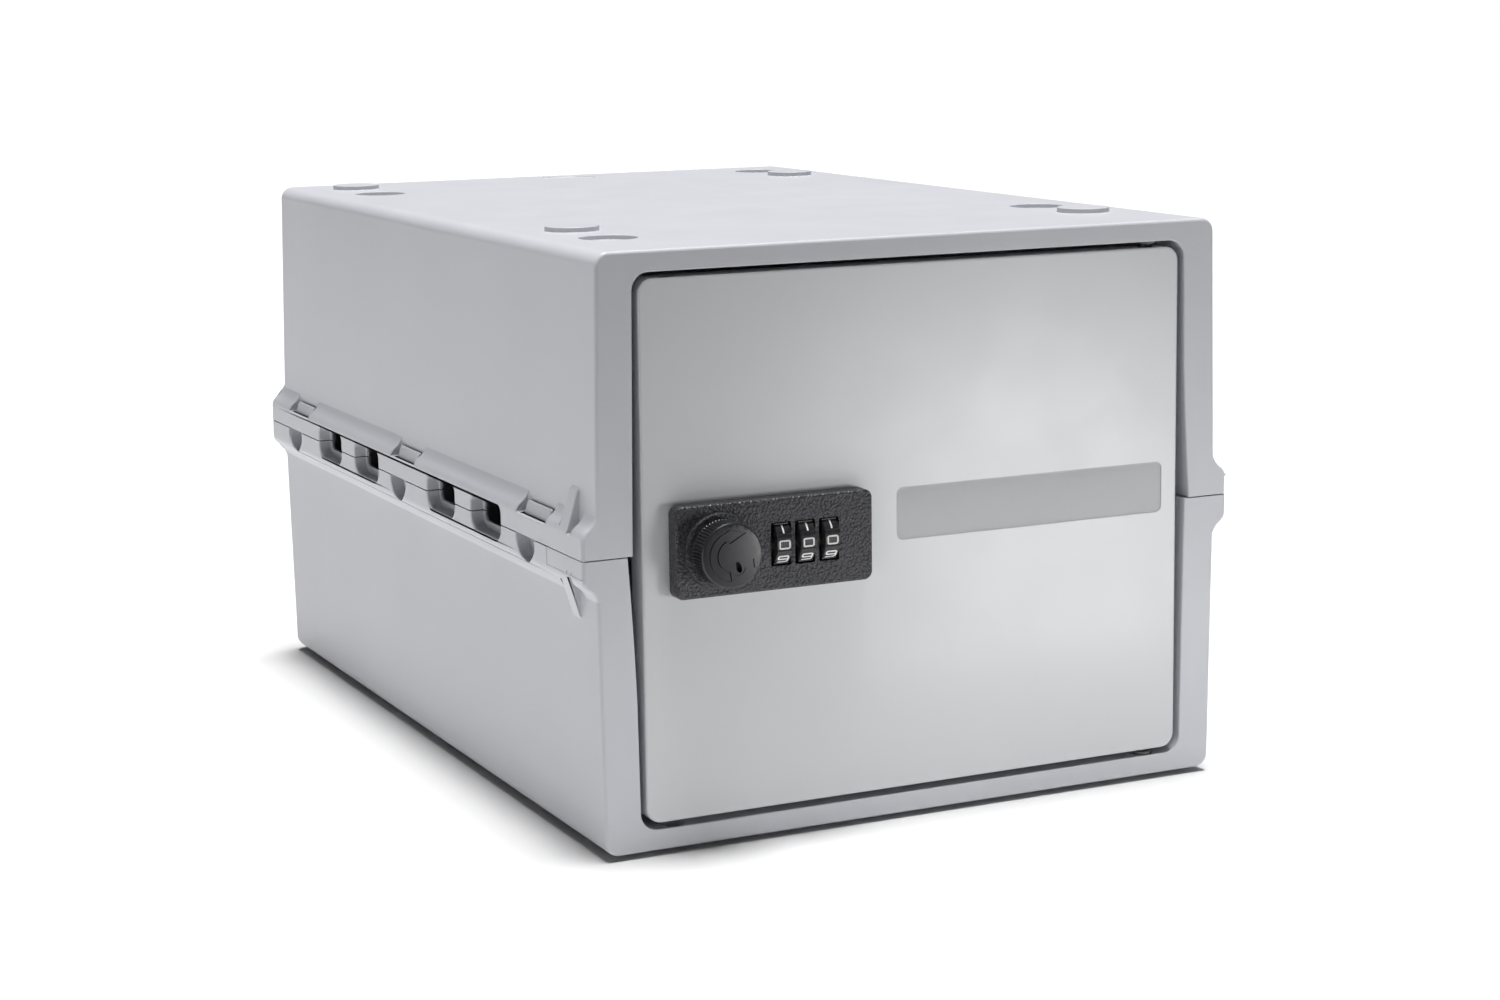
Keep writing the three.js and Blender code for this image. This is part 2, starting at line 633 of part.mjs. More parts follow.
// A number dial: ten shallow grip notches, one between each pair of digits.
function numberDial() {
  let dial = rodX(0, 0, DIAL_RADIUS, -DIAL_WIDTH / 2, DIAL_WIDTH / 2, 30);
  dial = dial.subtract(rodX(0, 0, SLEEVE_RADIUS + GAP, -DIAL_WIDTH, DIAL_WIDTH, 16));
  for (let digit = 0; digit < 10; digit += 1) {
    const angle = ((digit + 0.5) / 10) * 2 * Math.PI;
    const y = (DIAL_RADIUS + 0.35) * Math.cos(angle);
    const z = (DIAL_RADIUS + 0.35) * Math.sin(angle);
    dial = dial.subtract(rodX(y, z, 0.6, -DIAL_WIDTH, DIAL_WIDTH, 6));
  }
  return toGeometry(dial);
}

function dialSleeve() {
  const sleeve = rodX(0, 0, SLEEVE_RADIUS, -SLEEVE_WIDTH / 2, SLEEVE_WIDTH / 2, 16);
  const bore = rodX(0, 0, AXLE_RADIUS + GAP, -SLEEVE_WIDTH, SLEEVE_WIDTH, 20);
  const gate = block(SLEEVE_WIDTH / 2 - 1.2, SLEEVE_RADIUS - 1, -0.9, SLEEVE_WIDTH, SLEEVE_RADIUS + 1, 0.9);
  return toGeometry(sleeve.subtract(bore).subtract(gate));
}

function dialAxle() {
  return toGeometry(rodX(DIAL_Y, LOCK_Z, AXLE_RADIUS, AXLE_LEFT, AXLE_RIGHT, 20));
}

// A leaf spring below the dials, with one finger for each.
function detentSpring() {
  const bottom = LOCK_Z - HOUSING.height / 2 + HOUSING.wall + GAP;
  const top = bottom + SPRING.thickness;
  const left = DIAL_X[0] - SPRING.overhang;
  const right = DIAL_X[2] + SPRING.overhang;
  const strip = block(left, DIAL_Y + 3, bottom, right, DIAL_Y + 5, top);
  const fingers = DIAL_X.map((x) => (
    block(x - SPRING.fingerHalf, DIAL_Y + 0.5, bottom, x + SPRING.fingerHalf, DIAL_Y + 3.5, top)
  ));
  return toGeometry(joined([strip, ...fingers]));
}

// The fence lies behind the dials and its teeth reach between them towards the sleeves.
function lockingFence() {
  const bar = block(
    DIAL_X[0] - 6, FENCE_FRONT, LOCK_Z - FENCE.half, DIAL_X[2] + 4, FENCE_BACK, LOCK_Z + FENCE.half,
  );
  const toothFront = DIAL_Y + SLEEVE_RADIUS + 0.7;
  const teeth = DIAL_X.map((x) => {
    const middle = x + SLEEVE_WIDTH / 2 + GAP;
    return block(
      middle - FENCE.tooth, toothFront, LOCK_Z - FENCE.toothHalf,
      middle + FENCE.tooth, FENCE_BACK, LOCK_Z + FENCE.toothHalf,
    );
  });
  const leverWell = rodY(LEVER_X, LOCK_Z, FENCE.well, FENCE_FRONT - 1, FENCE_BACK + 1, 16);
  return toGeometry(joined([bar, ...teeth]).subtract(leverWell));
}

// The knob's side is ribbed, and its face has the hole that the code finder goes in.
function knob() {
  const outline = new THREE.Shape();
  for (let step = 0; step < 2 * KNOB_RIBS; step += 1) {
    const angle = (step / (2 * KNOB_RIBS)) * 2 * Math.PI;
    const radius = step % 2 === 0 ? KNOB_RADIUS : KNOB_RADIUS - KNOB_RIB_DEPTH;
    const x = KNOB_X + radius * Math.cos(angle);
    const z = LOCK_Z + radius * Math.sin(angle);
    if (step === 0) outline.moveTo(x, z);
    else outline.lineTo(x, z);
  }
  const body = toManifold(alongY(outline, KNOB_FRONT + KNOB_FACE - 0.4, KNOB_BACK));
  const face = rodY(KNOB_X, LOCK_Z, KNOB_RADIUS, KNOB_FRONT, KNOB_FRONT + KNOB_FACE, 32);
  const bore = rodY(KNOB_X, LOCK_Z, SPINDLE_RADIUS + GAP, KNOB_FRONT + 2.5, KNOB_BACK + 1, 16);
  const finder = rodY(
    KNOB_X + FINDER.x, LOCK_Z + FINDER.z, FINDER.radius, KNOB_FRONT - 1, KNOB_FRONT + FINDER.depth, 12,
  );
  return toGeometry(body.add(face).subtract(bore).subtract(finder));
}

function knobSpindle() {
  const half = SPINDLE_SQUARE;
  const round = rodY(KNOB_X, LOCK_Z, SPINDLE_RADIUS, KNOB_FRONT + 3, HOUSING_BACK + GAP, 16);
  const square = block(
    KNOB_X - half, HOUSING_BACK, LOCK_Z - half, KNOB_X + half, CAM_BACK, LOCK_Z + half,
  );
  const thread = rodY(KNOB_X, LOCK_Z, CAM_SCREW.tapping, HOUSING_BACK - 6, CAM_BACK + 1, 12);
  return toGeometry(round.add(square).subtract(thread));
}

// The cam tongue points up while unlocked and swings behind the left jamb.
function camTongue() {
  const outline = rectangle(
    KNOB_X - CAM.width / 2, LOCK_Z - CAM.hub, KNOB_X + CAM.width / 2, LOCK_Z + CAM.reach,
    [CAM.hubRadius, CAM.hubRadius, CAM.tipRadius, CAM.tipRadius],
  );
  const half = SPINDLE_SQUARE + GAP;
  const hole = block(KNOB_X - half, CAM_FRONT - 1, LOCK_Z - half, KNOB_X + half, CAM_BACK + 1, LOCK_Z + half);
  return toGeometry(toManifold(alongY(outline, CAM_FRONT, CAM_BACK)).subtract(hole));
}

function camWasher() {
  const front = CAM_BACK + GAP;
  const ring = rodY(KNOB_X, LOCK_Z, WASHER.radius, front, front + WASHER.thickness, 16);
  return toGeometry(ring.subtract(rodY(KNOB_X, LOCK_Z, WASHER.bore, front - 1, front + 2, 12)));
}

function camScrew() {
  const front = CAM_BACK + WASHER.thickness + 2 * GAP;
  const back = front + CAM_SCREW.height;
  const head = rodY(KNOB_X, LOCK_Z, CAM_SCREW.head, front, back, 20);
  const shank = rodY(KNOB_X, LOCK_Z, CAM_SCREW.shank, HOUSING_BACK - 4, front + 0.5, 12);
  const slot = block(KNOB_X - 4, back - CAM_SCREW.slot, LOCK_Z - 0.4, KNOB_X + 4, back + 1, LOCK_Z + 0.4);
  return toGeometry(head.add(shank).subtract(slot));
}

function housingScrew(screw) {
  const z = LOCK_Z + screw.z;
  const front = HOUSING_BACK + GAP;
  const back = front + SCREW_HEAD;
  const head = rodY(screw.x, z, SCREW_HEAD_RADIUS, front, back, 20);
  const shank = rodY(screw.x, z, SCREW_RADIUS, PLATE_BACK - 2, front + 0.5, 12);
  const slot = block(screw.x - 3, back - SCREW_SLOT, z - 0.3, screw.x + 3, back + 1, z + 0.3);
  return toGeometry(head.add(shank).subtract(slot));
}

// The slotted lever on the back of the lock, turned a quarter turn to set a new number.
function codeLever() {
  const back = LEVER_FRONT + LEVER.thickness;
  const disc = rodY(LEVER_X, LOCK_Z, LEVER.disc, LEVER_FRONT, back, 20);
  const arm = block(
    LEVER_X - LEVER.arm, LEVER_FRONT, LOCK_Z - LEVER.reach, LEVER_X + LEVER.arm, back, LOCK_Z,
  );
  const stem = rodY(LEVER_X, LOCK_Z, LEVER.stem, FENCE_BACK + 1.6, LEVER_FRONT + 0.5, 16);
  const slot = block(
    LEVER_X - LEVER.slot, LEVER_FRONT + 0.7, LOCK_Z - LEVER.slotHalf,
    LEVER_X + LEVER.slot, back + 1, LOCK_Z + LEVER.slotHalf,
  );
  return toGeometry(disc.add(arm).add(stem).subtract(slot));
}

// ---- assembly --------------------------------------------------------------------------

const MATERIALS = {
  shell: new THREE.MeshStandardMaterial({ color: 0xc4c5ca, roughness: 0.45, metalness: 0 }),
  door: new THREE.MeshStandardMaterial({ color: 0xc2c6c9, roughness: 0.38, metalness: 0 }),
  lockBody: new THREE.MeshStandardMaterial({ color: 0x2c2b2e, roughness: 0.6, metalness: 0.1 }),
  dial: new THREE.MeshStandardMaterial({ color: 0x1b1b1d, roughness: 0.45, metalness: 0 }),
  steel: new THREE.MeshStandardMaterial({ color: 0xb4b6b8, roughness: 0.35, metalness: 1 }),
  brass: new THREE.MeshStandardMaterial({ color: 0xc2a25a, roughness: 0.4, metalness: 1 }),
  bush: new THREE.MeshStandardMaterial({ color: 0xe6e4dc, roughness: 0.55, metalness: 0 }),
};

const box = new THREE.Group();

function place(name, geometry, material) {
  const mesh = new THREE.Mesh(geometry, material);
  mesh.name = name;
  box.add(mesh);
  return mesh;
}

const shell = halfShell();
place('upper_shell', shell, MATERIALS.shell);
place('lower_shell', shell, MATERIALS.shell).rotation.y = Math.PI;
place('door_panel', doorPanel(), MATERIALS.door);

const pin = hingePin();
const bush = hingeBush();
place('hinge_pin_upper', pin, MATERIALS.steel).position.set(HINGE_X, HINGE_Y, PIN_TOP);
const lowerPin = place('hinge_pin_lower', pin, MATERIALS.steel);
lowerPin.position.set(HINGE_X, HINGE_Y, -PIN_TOP);
lowerPin.rotation.x = Math.PI;
place('hinge_bush_upper', bush, MATERIALS.bush).position.set(HINGE_X, HINGE_Y, BOSS_BOTTOM + GAP);
const lowerBush = place('hinge_bush_lower', bush, MATERIALS.bush);
lowerBush.position.set(HINGE_X, HINGE_Y, -BOSS_BOTTOM - GAP);
lowerBush.rotation.x = Math.PI;

place('lock_faceplate', lockFaceplate(), MATERIALS.lockBody);
place('lock_housing', lockHousing(), MATERIALS.lockBody);
DIAL_NAMES.forEach((name, index) => {
  place(`dial_${name}`, numberDial(), MATERIALS.dial).position.set(DIAL_X[index], DIAL_Y, LOCK_Z);
  place(`dial_sleeve_${name}`, dialSleeve(), MATERIALS.brass).position.set(DIAL_X[index], DIAL_Y, LOCK_Z);
});
place('dial_axle', dialAxle(), MATERIALS.steel);
place('detent_spring', detentSpring(), MATERIALS.steel);
place('locking_fence', lockingFence(), MATERIALS.steel);
place('knob', knob(), MATERIALS.lockBody);
place('knob_spindle', knobSpindle(), MATERIALS.steel);
place('cam_tongue', camTongue(), MATERIALS.steel);
place('cam_washer', camWasher(), MATERIALS.steel);
place('cam_screw', camScrew(), MATERIALS.steel);
place('housing_screw_left', housingScrew(SCREWS[0]), MATERIALS.steel);
place('housing_screw_right', housingScrew(SCREWS[1]), MATERIALS.steel);
place('code_change_lever', codeLever(), MATERIALS.brass);

// The origin is on the ground, under the middle of the whole box with its knob.
box.position.set(0, -(KNOB_FRONT + BACK) / 2, HALF_HEIGHT + DISC_HEIGHT);

const assembly = new THREE.Group();
assembly.add(box);

export default assembly;
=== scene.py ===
"""A lockable storage box of light grey moulded plastic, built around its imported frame.

The drawing units are millimetres about the middle of the seam, as on the mould drawing:
X right, Y from the door to the back, Z up. to_mesh_object() turns them into the frame's metres.
"""

import math

import bmesh
import bpy
from mathutils import Matrix, Vector


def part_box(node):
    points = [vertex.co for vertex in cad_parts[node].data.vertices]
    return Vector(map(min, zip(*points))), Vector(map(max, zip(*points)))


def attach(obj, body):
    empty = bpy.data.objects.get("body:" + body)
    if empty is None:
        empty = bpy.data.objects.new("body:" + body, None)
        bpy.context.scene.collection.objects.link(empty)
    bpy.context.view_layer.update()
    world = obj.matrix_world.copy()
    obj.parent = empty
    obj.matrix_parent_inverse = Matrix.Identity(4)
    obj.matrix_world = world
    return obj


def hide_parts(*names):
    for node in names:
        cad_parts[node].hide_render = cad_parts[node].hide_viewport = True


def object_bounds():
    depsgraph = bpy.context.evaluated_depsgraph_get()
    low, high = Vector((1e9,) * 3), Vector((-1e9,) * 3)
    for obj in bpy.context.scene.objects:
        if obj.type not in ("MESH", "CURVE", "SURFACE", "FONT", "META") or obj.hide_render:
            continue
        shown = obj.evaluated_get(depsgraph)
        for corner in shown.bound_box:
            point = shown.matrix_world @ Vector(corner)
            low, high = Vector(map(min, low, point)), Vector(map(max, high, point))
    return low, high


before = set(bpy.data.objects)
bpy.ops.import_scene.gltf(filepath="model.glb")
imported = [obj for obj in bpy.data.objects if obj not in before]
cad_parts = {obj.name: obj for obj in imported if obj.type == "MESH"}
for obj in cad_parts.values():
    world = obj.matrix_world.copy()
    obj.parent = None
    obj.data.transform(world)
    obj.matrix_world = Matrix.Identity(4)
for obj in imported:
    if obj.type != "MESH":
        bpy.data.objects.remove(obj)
CAD_LOW, CAD_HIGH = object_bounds()

MM = 0.001
DOOR_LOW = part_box("door_panel")[0]
SHELL_LOW, SHELL_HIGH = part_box("upper_shell")
ORIGIN = Vector((0.0, (DOOR_LOW.y + SHELL_HIGH.y) / 2, (CAD_LOW.z + CAD_HIGH.z) / 2))


def mm_box(node):
    """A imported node's lowest and highest corners, in drawing units."""
    low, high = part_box(node)
    return (low - ORIGIN) / MM, (high - ORIGIN) / MM


# ---- dimensions of the box and its door, in millimetres ----

DEPTH = (SHELL_HIGH.y - DOOR_LOW.y) / MM
FRONT = -DEPTH / 2
BACK = DEPTH / 2
DISC_HEIGHT = 1.5
HALF_HEIGHT = (CAD_HIGH.z - CAD_LOW.z) / MM / 2 - DISC_HEIGHT
HALF_WIDTH = 101.1
SIDE_DRAFT = 1.35
BACK_DRAFT = 1.2
WALL = 2.6
TOP_WALL = 2.8
SEAM = 0.15
CROWN_RADIUS = 4.0
CROWN_STEPS = 8
BACK_RADIUS = 5.0
OPENING_HALF_WIDTH = 90.2
OPENING_TOP = 77.9
OPENING_RADIUS = 5.0
OPENING_RADII = (0, 0, OPENING_RADIUS, OPENING_RADIUS)
OPENING_FLARE = 1.5
FLARE_TOP = 40.0
LIP = 2.2
LIP_BACK = FRONT + 13.3

RAIL_OUTER = (SHELL_HIGH.x - SHELL_LOW.x) / MM / 2
RAIL_ROOT = HALF_WIDTH - WALL / 2
RAIL_BEYOND = RAIL_OUTER + 2
RAIL_SHOULDER = 5.2
RAIL_CREST = 12.3
RAIL_BACK = BACK - 2.5
RAIL_MIDDLE = 2.0
SNAP_SPACING = 111
SNAP_CENTRES = [RAIL_MIDDLE + step * SNAP_SPACING for step in (-1, 0, 1)]
NOTCH_LENGTH = 22.6
NOTCH_FLOOR = 5.8
POCKET_INSET = 0.6
POCKET_OUTER = 103.7
TONGUE_START = 2.3
TONGUE_LENGTH = 18.0
TONGUE_INNER = 101.5
TONGUE_OUTER = 103.2
TONGUE_REACH = 9.6
SLOT_WIDTH = 14.4
SLOT_TOP = 7.3
VENT_CENTRES = [RAIL_MIDDLE + offset for offset in (-75, -36, 36, 75)]
VENT_LENGTH = 25.0
VENT_TOP = 5.6
VENT_RIM = 0.5        # a vent's recess in the rail's face stops this far short of its top
VENT_BACK = HALF_WIDTH - 2 * WALL
VENT_STEP = 1.0       # the hole in the wall is this much shorter at each end
VENT_POCKET = {"outer": 100.2, "spread": 2.0, "top": 2.0}
NOTCHED_VENT = {"radius": 2.0, "wall_top": 5.0, "wall_radius": 1.6}
TONGUED_VENT = {"radius": 4.4, "wall_top": 2.8, "wall_radius": 2.6}
FIN_BACK = FRONT + 17
FIN_FRONT = FRONT + 11.5
FIN_TOP = 18.4
BLOCK_BACK = FRONT + 8.5

DISC_RADIUS = 8.0
SOCKET_RADIUS = 8.5
SOCKET_DEPTH = 1.4
DISC_X = 79
RAISED = [(-DISC_X, -81), (DISC_X, -108), (-DISC_X, 120), (DISC_X, 93)]
SUNKEN = [(-DISC_X, -108), (DISC_X, -81), (-DISC_X, 93), (DISC_X, 120)]

GATE = (5.5, 129, 10)     # the shallow mark of the mould's gate: x, y and radius
GATE_DEPTH = 0.4

GAP = 0.3             # between a moving piece and what it moves in
OVERLAP = 0.2         # how far joined bodies run into each other
PAST = 1.0            # how far a cutting body runs past what it cuts
PATCH = {"back": FRONT + 26.5, "depth": 0.15}

DOOR = mm_box("door_panel")
DOOR_RADIUS = 4.5
DOOR_EDGE = 0.7
DOOR_EDGE_STEPS = 7
DOOR_SKIN = 2.8
DOOR_RIM = 8.0
RIM_WALL = 2.2
RIB = 1.6
RIB_BACK = FRONT + 6
RIBS_UPRIGHT = (8, 44)
RIBS_LEVEL = (-38, 38)
HINGE_X = 78.0
HINGE_Y = FRONT + DOOR_RIM / 2
PIN_RADIUS = 1.9
PIN_TOP = 80.0
PIN_LENGTH = 18.0
LUG_HALF = 5.0
LUG_BACK = FRONT + DOOR_RIM - 0.2
BUSH_RADIUS = 2.9
BUSH_BORE = 2.2
BUSH_LENGTH = 3.2
BOSS_HALF = 7.0
BOSS_FRONT = FRONT + 1.5
BOSS_BACK = HINGE_Y + 5.5
BOSS_BOTTOM = 76.8
LABEL = {"left": -8.1, "right": 81.8, "bottom": -3.3, "top": 12.0, "radius": 2.0, "depth": 0.35}

EDGE = 0.4            # broken edges of the moulding
FRONT_EDGE = 1.1      # the outer edge of the front frame
JAMB_EDGE = 0.45
SEAM_EDGE = 0.12
WALL_EDGE = 0.15      # around the holes in the side walls
DISC_EDGE = 0.25
RECESS_EDGE = 0.6     # around the vents and notches in the rail's face
LABEL_EDGE = 0.12
DOOR_BACK_EDGE = 0.35


# ---- mesh tools ----

def to_mesh_object(name, verts, faces):
    """A mesh object in the frame, from points in drawing units."""
    mesh = bpy.data.meshes.new(name)
    points = [tuple((Vector(v) * MM) + ORIGIN) for v in verts]
    mesh.from_pydata(points, [], faces)
    bm = bmesh.new()
    bm.from_mesh(mesh)
    bmesh.ops.recalc_face_normals(bm, faces=bm.faces)
    bm.to_mesh(mesh)
    bm.free()
    obj = bpy.data.objects.new(name, mesh)
    bpy.context.scene.collection.objects.link(obj)
    return obj


def arc(cx, cy, radius, start, end, steps):
    """Points on an arc, with both ends, in degrees."""
    turns = [math.radians(start + (end - start) * i / steps) for i in range(steps + 1)]
    return [(cx + radius * math.cos(t), cy + radius * math.sin(t)) for t in turns]


def rectangle(left, bottom, right, top, radii=0.0, steps=6):
    """A rectangle's outline; radii go bottom-left, bottom-right, top-right, top-left."""
    bl, br, tr, tl = radii if isinstance(radii, tuple) else (radii,) * 4
    corners = [
        (left + bl, bottom + bl, bl, 180),
        (right - br, bottom + br, br, 270),
        (right - tr, top - tr, tr, 0),
        (left + tl, top - tl, tl, 90),
    ]
    points = []
    for cx, cy, radius, start in corners:
        points += arc(cx, cy, radius, start, start + 90, steps) if radius > 0 else [(cx, cy)]
    return points


def signed_area(points):
    return sum(a[0] * b[1] - b[0] * a[1] for a, b in zip(points, points[1:] + points[:1])) / 2


def on_axis(axis, along, u, v):
    """The point at a distance along an axis and at (u, v) in the other two, in X, Y, Z order."""
    return {"X": (along, u, v), "Y": (u, along, v), "Z": (u, v, along)}[axis]


def prism_parts(outline, low, high, axis):
    """An outline pushed along an axis; its points are (x, z) on Y, (x, y) on Z, (y, z) on X."""
    points = outline if signed_area(outline) > 0 else outline[::-1]
    ends = (high, low) if axis == "Y" else (low, high)
    verts = [on_axis(axis, end, *point) for end in ends for point in points]
    count = len(points)
    faces = [tuple(range(count))[::-1], tuple(range(count, 2 * count))]
    faces += [(i, (i + 1) % count, count + (i + 1) % count, count + i) for i in range(count)]
    return verts, faces


def merged(parts):
    """Several (verts, faces) as one."""
    verts, faces = [], []
    for part_verts, part_faces in parts:
        start = len(verts)
        verts += part_verts
        faces += [tuple(i + start for i in face) for face in part_faces]
    return verts, faces


def box_parts(left, front, bottom, right, back, top):
    return prism_parts(rectangle(left, bottom, right, top), front, back, "Y")


def rod_parts(axis, a, b, radius, low, high, sides=48):
    """A rod along an axis; a and b are its centre in the other two, in X, Y, Z order."""
    return prism_parts(arc(a, b, radius, 0, 360, sides)[:-1], low, high, axis)


def turned_parts(axis, a, b, profile, steps=64, ripple=None):
    """A body turned about an axis through (a, b), from its (along, radius) profile.

    A profile that starts and ends on the axis is solid, and any other closes on itself. ripple
    gives how much of a point's third value is taken off its radius at each angle, in degrees.
    """
    verts, faces, rings = [], [], []
    for along, radius, *depth in profile:
        if radius == 0:
            rings.append([len(verts)] * steps)
            verts.append(on_axis(axis, along, a, b))
            continue
        rings.append(list(range(len(verts), len(verts) + steps)))
        for i in range(steps):
            turn = 360 * i / steps
            here = radius - (depth[0] * ripple(turn) if depth else 0)
            u, v = here * math.cos(math.radians(turn)), here * math.sin(math.radians(turn))
            verts.append(on_axis(axis, along, a + u, b + v))
    solid = profile[0][1] == 0
    for k in range(len(rings) - (1 if solid else 0)):
        first, second = rings[k], rings[(k + 1) % len(rings)]
        for i in range(steps):
            j = (i + 1) % steps
            corners = [first[i], first[j], second[j], second[i]]
            faces.append(tuple(dict.fromkeys(corners)))
    return verts, faces


def ribbon(path, width, closed=False):
    """The outline of a stroke along a path in two dimensions, with mitred corners."""
    points = [Vector(p) for p in path]
    count = len(points)
    sides = ([], [])
    for i, point in enumerate(points):
        before = points[i - 1] if i > 0 or closed else None
        after = points[(i + 1) % count] if i < count - 1 or closed else None
        ways = [(q - p).normalized() for p, q in ((before, point), (point, after)) if p and q]
        normals = [Vector((-way.y, way.x)) for way in ways]
        middle = sum(normals, Vector((0, 0))).normalized()
        reach = width / 2 / max(0.4, middle.dot(normals[0]))
        sides[0].append(tuple(point + middle * reach))
        sides[1].append(tuple(point - middle * reach))
    return sides


def draft(parts):
    """A moulding's draft: the sides and the back lean in as z rises."""
    verts, faces = parts
    leaned = []
    for x, y, z in verts:
        rise = z / HALF_HEIGHT
        leaned.append((
            x * (1 - SIDE_DRAFT / HALF_WIDTH * rise),
            y - BACK_DRAFT * rise * (y - FRONT) / DEPTH,
            z,
        ))
    return leaned, faces


def loft_parts(rings):
    """A closed body through rings of (outline, z), each with as many points."""
    count = len(rings[0][0])
    verts = [(x, y, z) for outline, z in rings for x, y in outline]
    faces = []
    for ring in range(len(rings) - 1):
        for i in range(count):
            here, after = ring * count + i, ring * count + (i + 1) % count
            faces.append((here, after, after + count, here + count))
    last = (len(rings) - 1) * count
    faces.append(tuple(range(count))[::-1])
    faces.append(tuple(range(last, last + count)))
    return verts, faces


def combine(target, parts, operation):
    """Joins a body with, or cuts from it, everything in parts."""
    tool = to_mesh_object("tool", *merged(parts))
    modifier = target.modifiers.new("join", "BOOLEAN")
    modifier.operation = operation
    modifier.object = tool
    modifier.solver = "EXACT"
    modifier.use_self = True
    bake(target)
    bpy.data.objects.remove(tool)


def cut_with(target, parts):
    combine(target, parts, "DIFFERENCE")


def solid(name, body, cuts, added=(), width=0.2, segments=2, angle=26.0):
    """One finished piece: joined, cut, with its sharp edges rounded."""
    obj = to_mesh_object(name, *body)
    if added:
        combine(obj, added, "UNION")
    cut_with(obj, cuts)
    clean(obj)
    round_edges(obj, lambda a, b: width, segments, angle)
    return smooth(obj)


def bake(obj):
    """Turns an object's modifiers into its mesh."""
    graph = bpy.context.evaluated_depsgraph_get()
    mesh = bpy.data.meshes.new_from_object(obj.evaluated_get(graph))
    obj.modifiers.clear()
    old = obj.data
    obj.data = mesh
    bpy.data.meshes.remove(old)
    mesh.name = obj.name


def clean(obj, angle=0.6):
    """Merges doubled points and takes out edges inside flat faces."""
    bm = bmesh.new()
    bm.from_mesh(obj.data)
    bmesh.ops.remove_doubles(bm, verts=bm.verts, dist=0.004 * MM)
    bmesh.ops.dissolve_limit(
        bm, angle_limit=math.radians(angle), verts=bm.verts, edges=bm.edges,
        use_dissolve_boundaries=False,
    )
    bm.to_mesh(obj.data)
    bm.free()


def round_edges(obj, width_of, segments=3, angle=26.0):
    """Rounds every sharp edge; width_of(a, b) gives its width from its ends, in drawing units."""
    bm = bmesh.new()
    bm.from_mesh(obj.data)
    bm.normal_update()
    weights = bm.edges.layers.float
    layer = weights.get("bevel_weight_edge") or weights.new("bevel_weight_edge")
    widest = 0.0
    chosen = []
    for edge in bm.edges:
        if len(edge.link_faces) != 2 or edge.calc_face_angle(0.0) < math.radians(angle):
            continue
        ends = [(v.co - ORIGIN) / MM for v in edge.verts]
        width = width_of(*ends)
        chosen.append((edge, width))
        widest = max(widest, width)
    for edge, width in chosen:
        edge[layer] = width / widest
    bm.to_mesh(obj.data)
    bm.free()
    modifier = obj.modifiers.new("edges", "BEVEL")
    modifier.width = widest * MM
    modifier.segments = segments
    modifier.limit_method = "WEIGHT"
    modifier.use_clamp_overlap = False
    modifier.miter_outer = "MITER_ARC"
    bake(obj)


def trim_width(obj, reach):
    """Pulls points that a rounded corner has pushed out past the body's width back to it."""
    for vertex in obj.data.vertices:
        vertex.co.x = min(max(vertex.co.x, ORIGIN.x - reach * MM), ORIGIN.x + reach * MM)


def smooth(obj, angle=32.0):
    """Smooth shading with flat faces kept flat."""
    obj.data.shade_smooth()
    obj.data.set_sharp_from_angle(angle=math.radians(angle))
    modifier = obj.modifiers.new("normals", "WEIGHTED_NORMAL")
    modifier.keep_sharp = True
    modifier.weight = 80
    return obj


# ---- half shell ----

def shell_blank(inset, bottom, top, crown, back, steps):
    """A drafted block with a rounded crown and rounded back corners; its front edges are sharp."""
    def ring(z):
        share = max(0.0, z - (top - crown)) / crown
        side = inset + crown * (1 - math.sqrt(max(0.0, 1 - share ** 2)))
        radius = max(0.6, back - (side - inset))
        left, right = -HALF_WIDTH + side, HALF_WIDTH - side
        front, rear = FRONT + inset, BACK - side
        outline = [(left, front), (right, front)]
        outline += arc(right - radius, rear - radius, radius, 0, 90, steps)
        outline += arc(left + radius, rear - radius, radius, 90, 180, steps)
        return outline, z

    heights = [bottom] + [
        top - crown + crown * math.sin(math.pi / 2 * step / steps) for step in range(steps + 1)
    ]
    return draft(loft_parts([ring(z) for z in heights]))


def curve(start, control, end, steps=6):
    """Points on a quadratic curve, without its start."""
    points = []
    for i in range(1, steps + 1):
        t = i / steps
        points.append(tuple(
            (1 - t) ** 2 * a + 2 * t * (1 - t) * b + t ** 2 * c
            for a, b, c in zip(start, control, end)
        ))
    return points


def rail_outline(side):
    """The rail's section, from inside the wall out to its shoulder and up to its crest."""
    shoulder = (RAIL_OUTER, RAIL_SHOULDER)
    turn = (RAIL_OUTER - 1.4, RAIL_SHOULDER + 3.1)
    points = [(RAIL_ROOT, SEAM), (RAIL_OUTER, SEAM), shoulder]
    points += curve(shoulder, (RAIL_OUTER, RAIL_SHOULDER + 2), turn)
    control, end = (HALF_WIDTH + 0.5, RAIL_CREST - 2.6), (HALF_WIDTH - 0.3, RAIL_CREST)
    points += curve(turn, control, end, 8)
    points.append((RAIL_ROOT, RAIL_CREST))
    return [(side * x, z) for x, z in points]


def fin_outline(side):
    points = [
        (RAIL_ROOT, RAIL_SHOULDER),
        (RAIL_OUTER - 0.2, RAIL_SHOULDER),
        (RAIL_OUTER - 0.5, RAIL_SHOULDER + 2),
        (HALF_WIDTH + 0.5, FIN_TOP - 0.6),
        (HALF_WIDTH - 0.6, FIN_TOP),
        (RAIL_ROOT, FIN_TOP),
    ]
    return [(side * x, z) for x, z in points]


def tongue_outline(side):
    points = [
        (TONGUE_INNER, RAIL_SHOULDER),
        (TONGUE_OUTER, RAIL_SHOULDER),
        (TONGUE_OUTER, -TONGUE_REACH + 3.4),
        (TONGUE_OUTER - 0.9, -TONGUE_REACH + 0.4),
        (TONGUE_INNER, -TONGUE_REACH),
    ]
    return [(side * x, z) for x, z in points]


